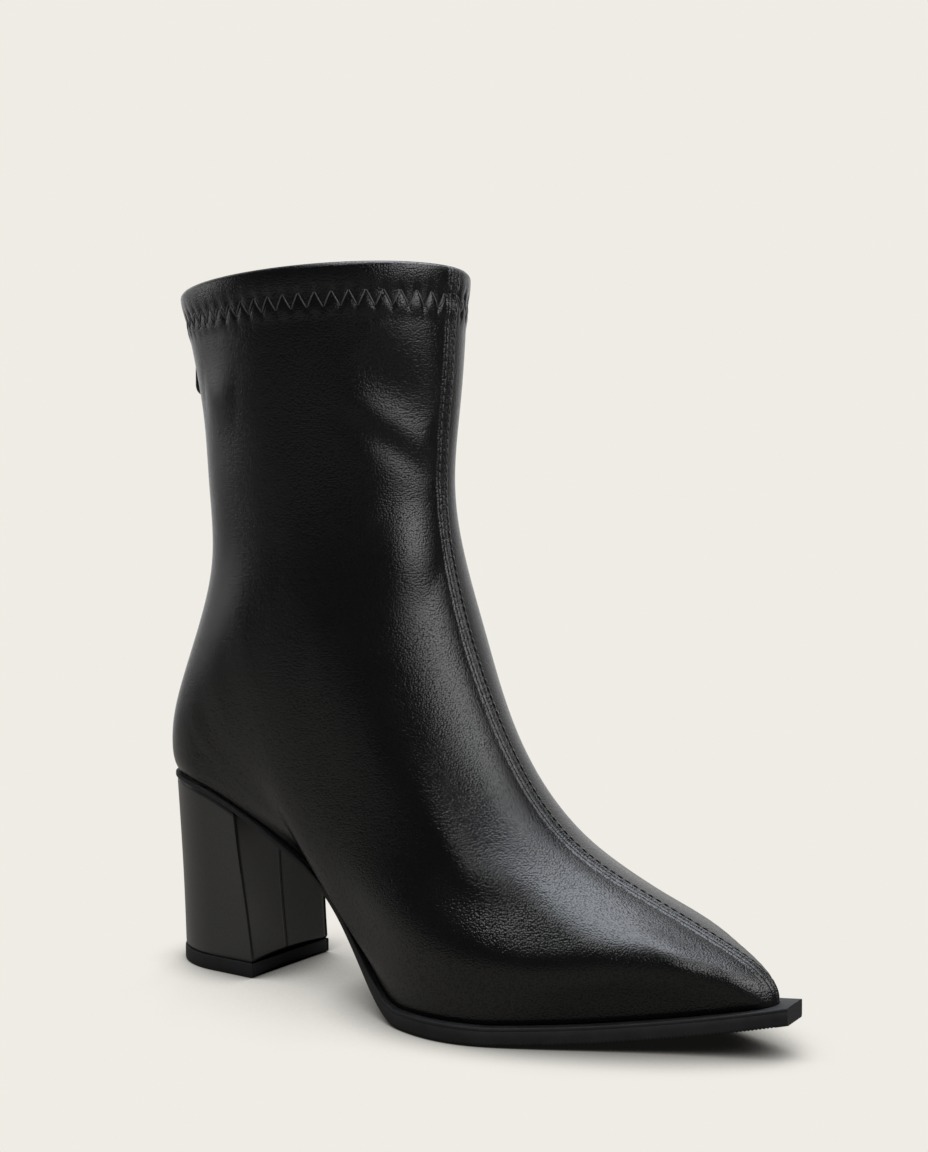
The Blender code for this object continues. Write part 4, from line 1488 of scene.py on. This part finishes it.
class BOOT_OT_insole(bpy.types.Operator):
    """Builds the padded insole inside the boot"""

    bl_idname = "boot.insole"
    bl_label = "Insole"

    def execute(self, context):
        back = UPPER_BACK_X + INSOLE_INSET
        reach = SEAT_ROUND - INSOLE_INSET
        seat = seat_places(back, reach)
        x = np.concatenate((seat, np.arange(seat[-1] + WAIST_STEP, INSOLE_TIP_X, WAIST_STEP), [INSOLE_TIP_X]))
        half = (feather_half(x) - INSOLE_INSET) * round_end(x - back, reach)
        under = sole_top(x) + GAP
        rows = [sole_row(x, half - inset, under + rise) for rise, inset in INSOLE_LEVELS]
        faces = ladder_faces(len(rows), len(x))
        colour = scaled(context.scene.boot_leather.lining_colour, SOCK_SHADE)
        sock = leather_material("insole_sock", colour, **SOCK_LEATHER)
        new_piece("insole_sock", rows, faces, sock, BOOT, ("insole",), WRAP_CRISP)
        return {"FINISHED"}


class BOOT_OT_zip(bpy.types.Operator):
    """Builds the zip's woven tapes and its coil of teeth"""

    bl_idname = "boot.zip"
    bl_label = "Zip"

    def execute(self, context):
        settings = context.scene.boot_zip
        self.tapes(settings)
        self.teeth(settings)
        return {"FINISHED"}

    def tapes(self, settings):
        """A tape on each side of the back line."""
        depth = np.linspace(TAPE_TOP, TAPE_END, TAPE_ROWS)[:, None]
        side, rise = np.array(TAPE_SECTION).T
        count = len(TAPE_SECTION)
        points = [zip_points(depth, mirror * side, rise) for mirror in (-1, 1)]
        faces = capped_tube(TAPE_ROWS, count) + capped_tube(TAPE_ROWS, count, TAPE_ROWS * count)
        cloth = woven_material("zip_cloth", settings.tape_colour, TAPE_WEAVE)
        new_piece("zip_tapes", points, faces, cloth, BOOT, ("zip_tape",), WRAP_CRISP)

    def teeth(self, settings):
        """Loops of the coil that reach over the middle from each side in turn."""
        pitch = settings.tooth_pitch / MM
        starts = np.arange(TAPE_TOP + TEETH_CLEAR, TAPE_END - TEETH_CLEAR, pitch)
        side, rise = np.array(TOOTH_PATH).T
        skew = TOOTH_SKEW * (np.linspace(0, 1, len(TOOTH_PATH)) - 0.5)
        paths = []
        for mirror, shift in ((-1, 0.0), (1, pitch / 2)):
            depth = (starts + shift)[:, None] + skew[None, :]
            paths.append(zip_points(depth, mirror * side, rise))
        paths = np.concatenate(paths)
        up = np.tile((0.0, 0.0, 1.0), paths.shape[:2] + (1,))
        points, faces = threads(paths, up, TOOTH_RADIUS)
        nylon = painted_material("zip_nylon", scaled(settings.tape_colour, NYLON_SHADE), NYLON_ROUGHNESS)
        new_piece("zip_teeth", points, faces, nylon, BOOT)


class BOOT_OT_slider(bpy.types.Operator):
    """Builds the zip's slider and the pull tab that swings in its crown"""

    bl_idname = "boot.slider"
    bl_label = "Zip Slider and Pull"

    def execute(self, context):
        colour = context.scene.boot_zip.metal_colour
        self.slider(painted_material("slider_paint", colour, SLIDER_ROUGHNESS))
        self.pull(painted_material("tab_paint", colour, TAB_ROUGHNESS))
        return {"FINISHED"}

    def slider(self, paint):
        """A plate over the teeth, with the crown that the pull hangs in."""
        outline = even_loop(SLIDER_OUTLINE[::-1], LOOP_POINTS)
        plate = [slider_place(level, *drawn_in(outline, inset).T) for level, inset in SLIDER_LEVELS]
        low, high, half = CROWN_BOX
        crown = rounded_box(low, high, -half, half, CROWN_CORNER, LOOP_POINTS)
        low, high, half = CROWN_WINDOW
        loops = framed_plate(crown, window_loop(crown, low, high, -half, half), CROWN_HALF)
        handle = [slider_place(loop[:, 0], level, loop[:, 1]) for loop, level in loops]
        faces = capped_tube(len(plate), LOOP_POINTS)
        faces += ring_faces(len(handle), LOOP_POINTS, len(plate) * LOOP_POINTS)
        points = plate + handle
        new_piece("zip_slider_body", points, faces, paint, BOOT, ("zip_slider",), METAL_CRISP)

    def pull(self, paint):
        """A flat tab with a round end and a window for the crown."""
        half, high, low = TAB_WINDOW
        centre = TAB_HALF - TAB_LENGTH
        turn = np.linspace(math.pi, 2 * math.pi, TAB_END_POINTS)
        edge = [(TAB_HALF * math.cos(angle), centre + TAB_HALF * math.sin(angle)) for angle in turn]
        top = TAB_THICK / 2
        in_by, down_by = TAB_SHOULDER
        shoulder = [(TAB_HALF, low), (TAB_TOP_HALF, top - down_by), (TAB_TOP_HALF - in_by, top)]
        edge += shoulder + [(-across, up) for across, up in shoulder[::-1]]
        count = 2 * LOOP_POINTS
        outline = even_loop(edge, count)
        loops = framed_plate(outline, window_loop(outline, -half, half, low, high), TAB_THICK / 2)
        pivot = slider_place(TAB_REACH, 0.0, 0.0)
        grid = []
        for loop, level in loops:
            out = np.full(count, pivot[0] + level)
            grid.append(np.stack((out, loop[:, 0], pivot[2] + loop[:, 1]), axis=1))
        faces = ring_faces(len(grid), count)
        new_piece("zip_pull", grid, faces, paint, ZIP_PULL, ("zip_pull_tab",), METAL_CRISP)


class BOOT_OT_stage(bpy.types.Operator):
    """Sets up the pale floor, the studio lights and the camera"""

    bl_idname = "boot.stage"
    bl_label = "Stage"

    def execute(self, context):
        settings = context.scene.boot_stage
        context.scene.view_settings.view_transform = "Standard"
        self.camera(context, settings)
        self.floor(context, settings)
        self.room(context, settings)
        for name, box in SOFTBOXES.items():
            self.softbox(context, name + "_softbox", getattr(settings, name + "_light"), *box)
        return {"FINISHED"}

    def camera(self, context, settings):
        """The photograph's viewpoint."""
        data = bpy.data.cameras.new("camera")
        data.lens = settings.lens
        data.sensor_width = SENSOR
        made = bpy.data.objects.new("camera", data)
        turn = math.radians(CAMERA_TURN_DEG)
        drop = math.radians(CAMERA_DROP_DEG)
        level = math.cos(drop)
        forward = Vector((-math.sin(turn) * level, math.cos(turn) * level, -math.sin(drop)))
        right = Vector((math.cos(turn), math.sin(turn), 0))
        axes = Matrix((right, right.cross(forward), -forward)).transposed()
        made.matrix_world = Matrix.Translation(CAMERA_PLACE) @ axes.to_4x4()
        context.scene.collection.objects.link(made)
        context.scene.camera = made

    def floor(self, context, settings):
        """A disc of glowing paper, with painted shadow where the boot stands over it."""
        mesh = bpy.data.meshes.new("floor")
        shape = bmesh.new()
        bmesh.ops.create_circle(shape, cap_ends=True, segments=FLOOR_SIDES, radius=FLOOR_RADIUS)
        shape.to_mesh(mesh)
        shape.free()
        made = bpy.data.objects.new("floor", mesh)
        made.location.z = -FLOOR_DROP
        context.scene.collection.objects.link(made)
        mesh.materials.append(self.paper(settings))

    def paper(self, settings):
        """The floor's material. The leather mirrors it more dimly than the camera sees it."""
        made, tree, shader, place = new_material("floor_paper")
        tree.nodes.remove(shader)
        glow = add_node(tree, "ShaderNodeEmission")
        shades = []
        # Painted shadow: ambient occlusion darkens the floor's glow towards black where the boot stands over
        # it
        for reach, lean, *curve in PAINTED_SHADOWS:
            way = Vector(lean).normalized()
            quality = {"samples": SHADOW_SAMPLES}
            near = add_node(tree, "ShaderNodeAmbientOcclusion", quality, {"Distance": reach})
            leaning = add_node(tree, "ShaderNodeCombineXYZ", values={"X": way.x, "Y": way.y, "Z": way.z})
            tree.links.new(leaning.outputs["Vector"], near.inputs["Normal"])
            shades.append(between(tree, near.outputs["AO"], *curve))
        shade = combined(tree, "MULTIPLY", *shades)
        tree.links.new(mixed_colour(tree, shade, BLACK, settings.backdrop), glow.inputs["Color"])
        seen = add_node(tree, "ShaderNodeLightPath").outputs["Is Camera Ray"]
        along = add_node(tree, "ShaderNodeSeparateXYZ")
        tree.links.new(place, along.inputs["Vector"])
        mirrored = between(tree, along.outputs["X"], *FLOOR_MIRRORED, *FLOOR_GRADE)
        tree.links.new(combined(tree, "MAXIMUM", seen, mirrored), glow.inputs["Strength"])
        tree.links.new(glow.outputs["Emission"], tree.nodes["Material Output"].inputs["Surface"])
        return made

    def room(self, context, settings):
        """What is seen behind the boot, and what the leather mirrors of the room."""
        world = bpy.data.worlds.new("studio")
        world.use_nodes = True
        context.scene.world = world
        tree = world.node_tree
        direction = add_node(tree, "ShaderNodeTexCoord").outputs["Generated"]

        def facing(axis, low, high, edge):
            """Brightness that comes in towards an axis."""
            made = add_node(tree, "ShaderNodeVectorMath", {"operation": "DOT_PRODUCT"})
            made.inputs[1].default_value = axis
            tree.links.new(direction, made.inputs[0])
            return between(tree, made.outputs["Value"], low, high, *edge)

        turn = math.radians(CAMERA_TURN_DEG)
        behind = (-BACK_LEVEL * math.sin(turn), BACK_LEVEL * math.cos(turn), BACK_RISE)
        back = facing(behind, 0, ROOM_BACK - ROOM_FRONT, BACK_EDGE)
        left = facing((-1, 0, 0), 0, ROOM_LEFT - ROOM_FRONT, LEFT_EDGE)
        below = facing((0, 0, -1), ROOM_FRONT, ROOM_BELOW, BELOW_EDGE)
        total = combined(tree, "ADD", combined(tree, "ADD", back, left), below)
        mirrored = mixed_colour(tree, total, BLACK, WHITE)
        seen = add_node(tree, "ShaderNodeLightPath").outputs["Is Camera Ray"]
        colour = mixed_colour(tree, seen, mirrored, settings.backdrop)
        tree.links.new(colour, tree.nodes["Background"].inputs["Color"])

    def softbox(self, context, name, brightness, turn_deg, rise_deg, distance, width, tall, shape, tint):
        """An area light that faces the boot, as bright at any size."""
        data = bpy.data.lights.new(name, "AREA")
        data.shape = shape
        data.size = width
        data.size_y = tall
        data.color = tint
        data.energy = brightness * math.pi * width * tall * LIT_SHARES[shape]
        made = bpy.data.objects.new(name, data)
        turn = math.radians(turn_deg)
        rise = math.radians(rise_deg)
        way = Vector((math.cos(rise) * math.cos(turn), math.cos(rise) * math.sin(turn), math.sin(rise)))
        made.location = BOOT_MIDDLE + distance * way
        made.rotation_euler = (-way).to_track_quat("-Z", "Y").to_euler()
        made.visible_camera = False
        context.scene.collection.objects.link(made)


class BOOT_PT_panel(bpy.types.Panel):
    """Lists the boot's pieces and their settings"""

    bl_idname = "BOOT_PT_panel"
    bl_label = "Ankle Boot"
    bl_space_type = "VIEW_3D"
    bl_region_type = "UI"
    bl_category = "Boot"

    def draw(self, context):
        for operator in OPERATORS:
            self.layout.operator(operator.bl_idname)
        for name, group in SETTINGS.items():
            box = self.layout.box()
            box.label(text=group.__doc__)
            for setting in group.__annotations__:
                box.prop(getattr(context.scene, name), setting)


SETTINGS = {
    "boot_leather": LeatherSettings,
    "boot_stitch": StitchSettings,
    "boot_sole": SoleSettings,
    "boot_zip": ZipSettings,
    "boot_stage": StageSettings,
}
OPERATORS = (
    BOOT_OT_stage,
    BOOT_OT_upper,
    BOOT_OT_stitches,
    BOOT_OT_sole,
    BOOT_OT_heel,
    BOOT_OT_insole,
    BOOT_OT_zip,
    BOOT_OT_slider,
)


def register():
    for group in SETTINGS.values():
        bpy.utils.register_class(group)
    for name, group in SETTINGS.items():
        setattr(bpy.types.Scene, name, PointerProperty(type=group))
    for operator in OPERATORS:
        bpy.utils.register_class(operator)
    bpy.utils.register_class(BOOT_PT_panel)


def unregister():
    bpy.utils.unregister_class(BOOT_PT_panel)
    for operator in reversed(OPERATORS):
        bpy.utils.unregister_class(operator)
    for name in SETTINGS:
        delattr(bpy.types.Scene, name)
    for group in reversed(list(SETTINGS.values())):
        bpy.utils.unregister_class(group)


def main():
    register()
    bpy.ops.boot.stage()
    bpy.ops.boot.upper()
    bpy.ops.boot.stitches()
    bpy.ops.boot.sole()
    bpy.ops.boot.heel()
    bpy.ops.boot.insole()
    bpy.ops.boot.zip()
    bpy.ops.boot.slider()


if __name__ == "__main__":
    main()
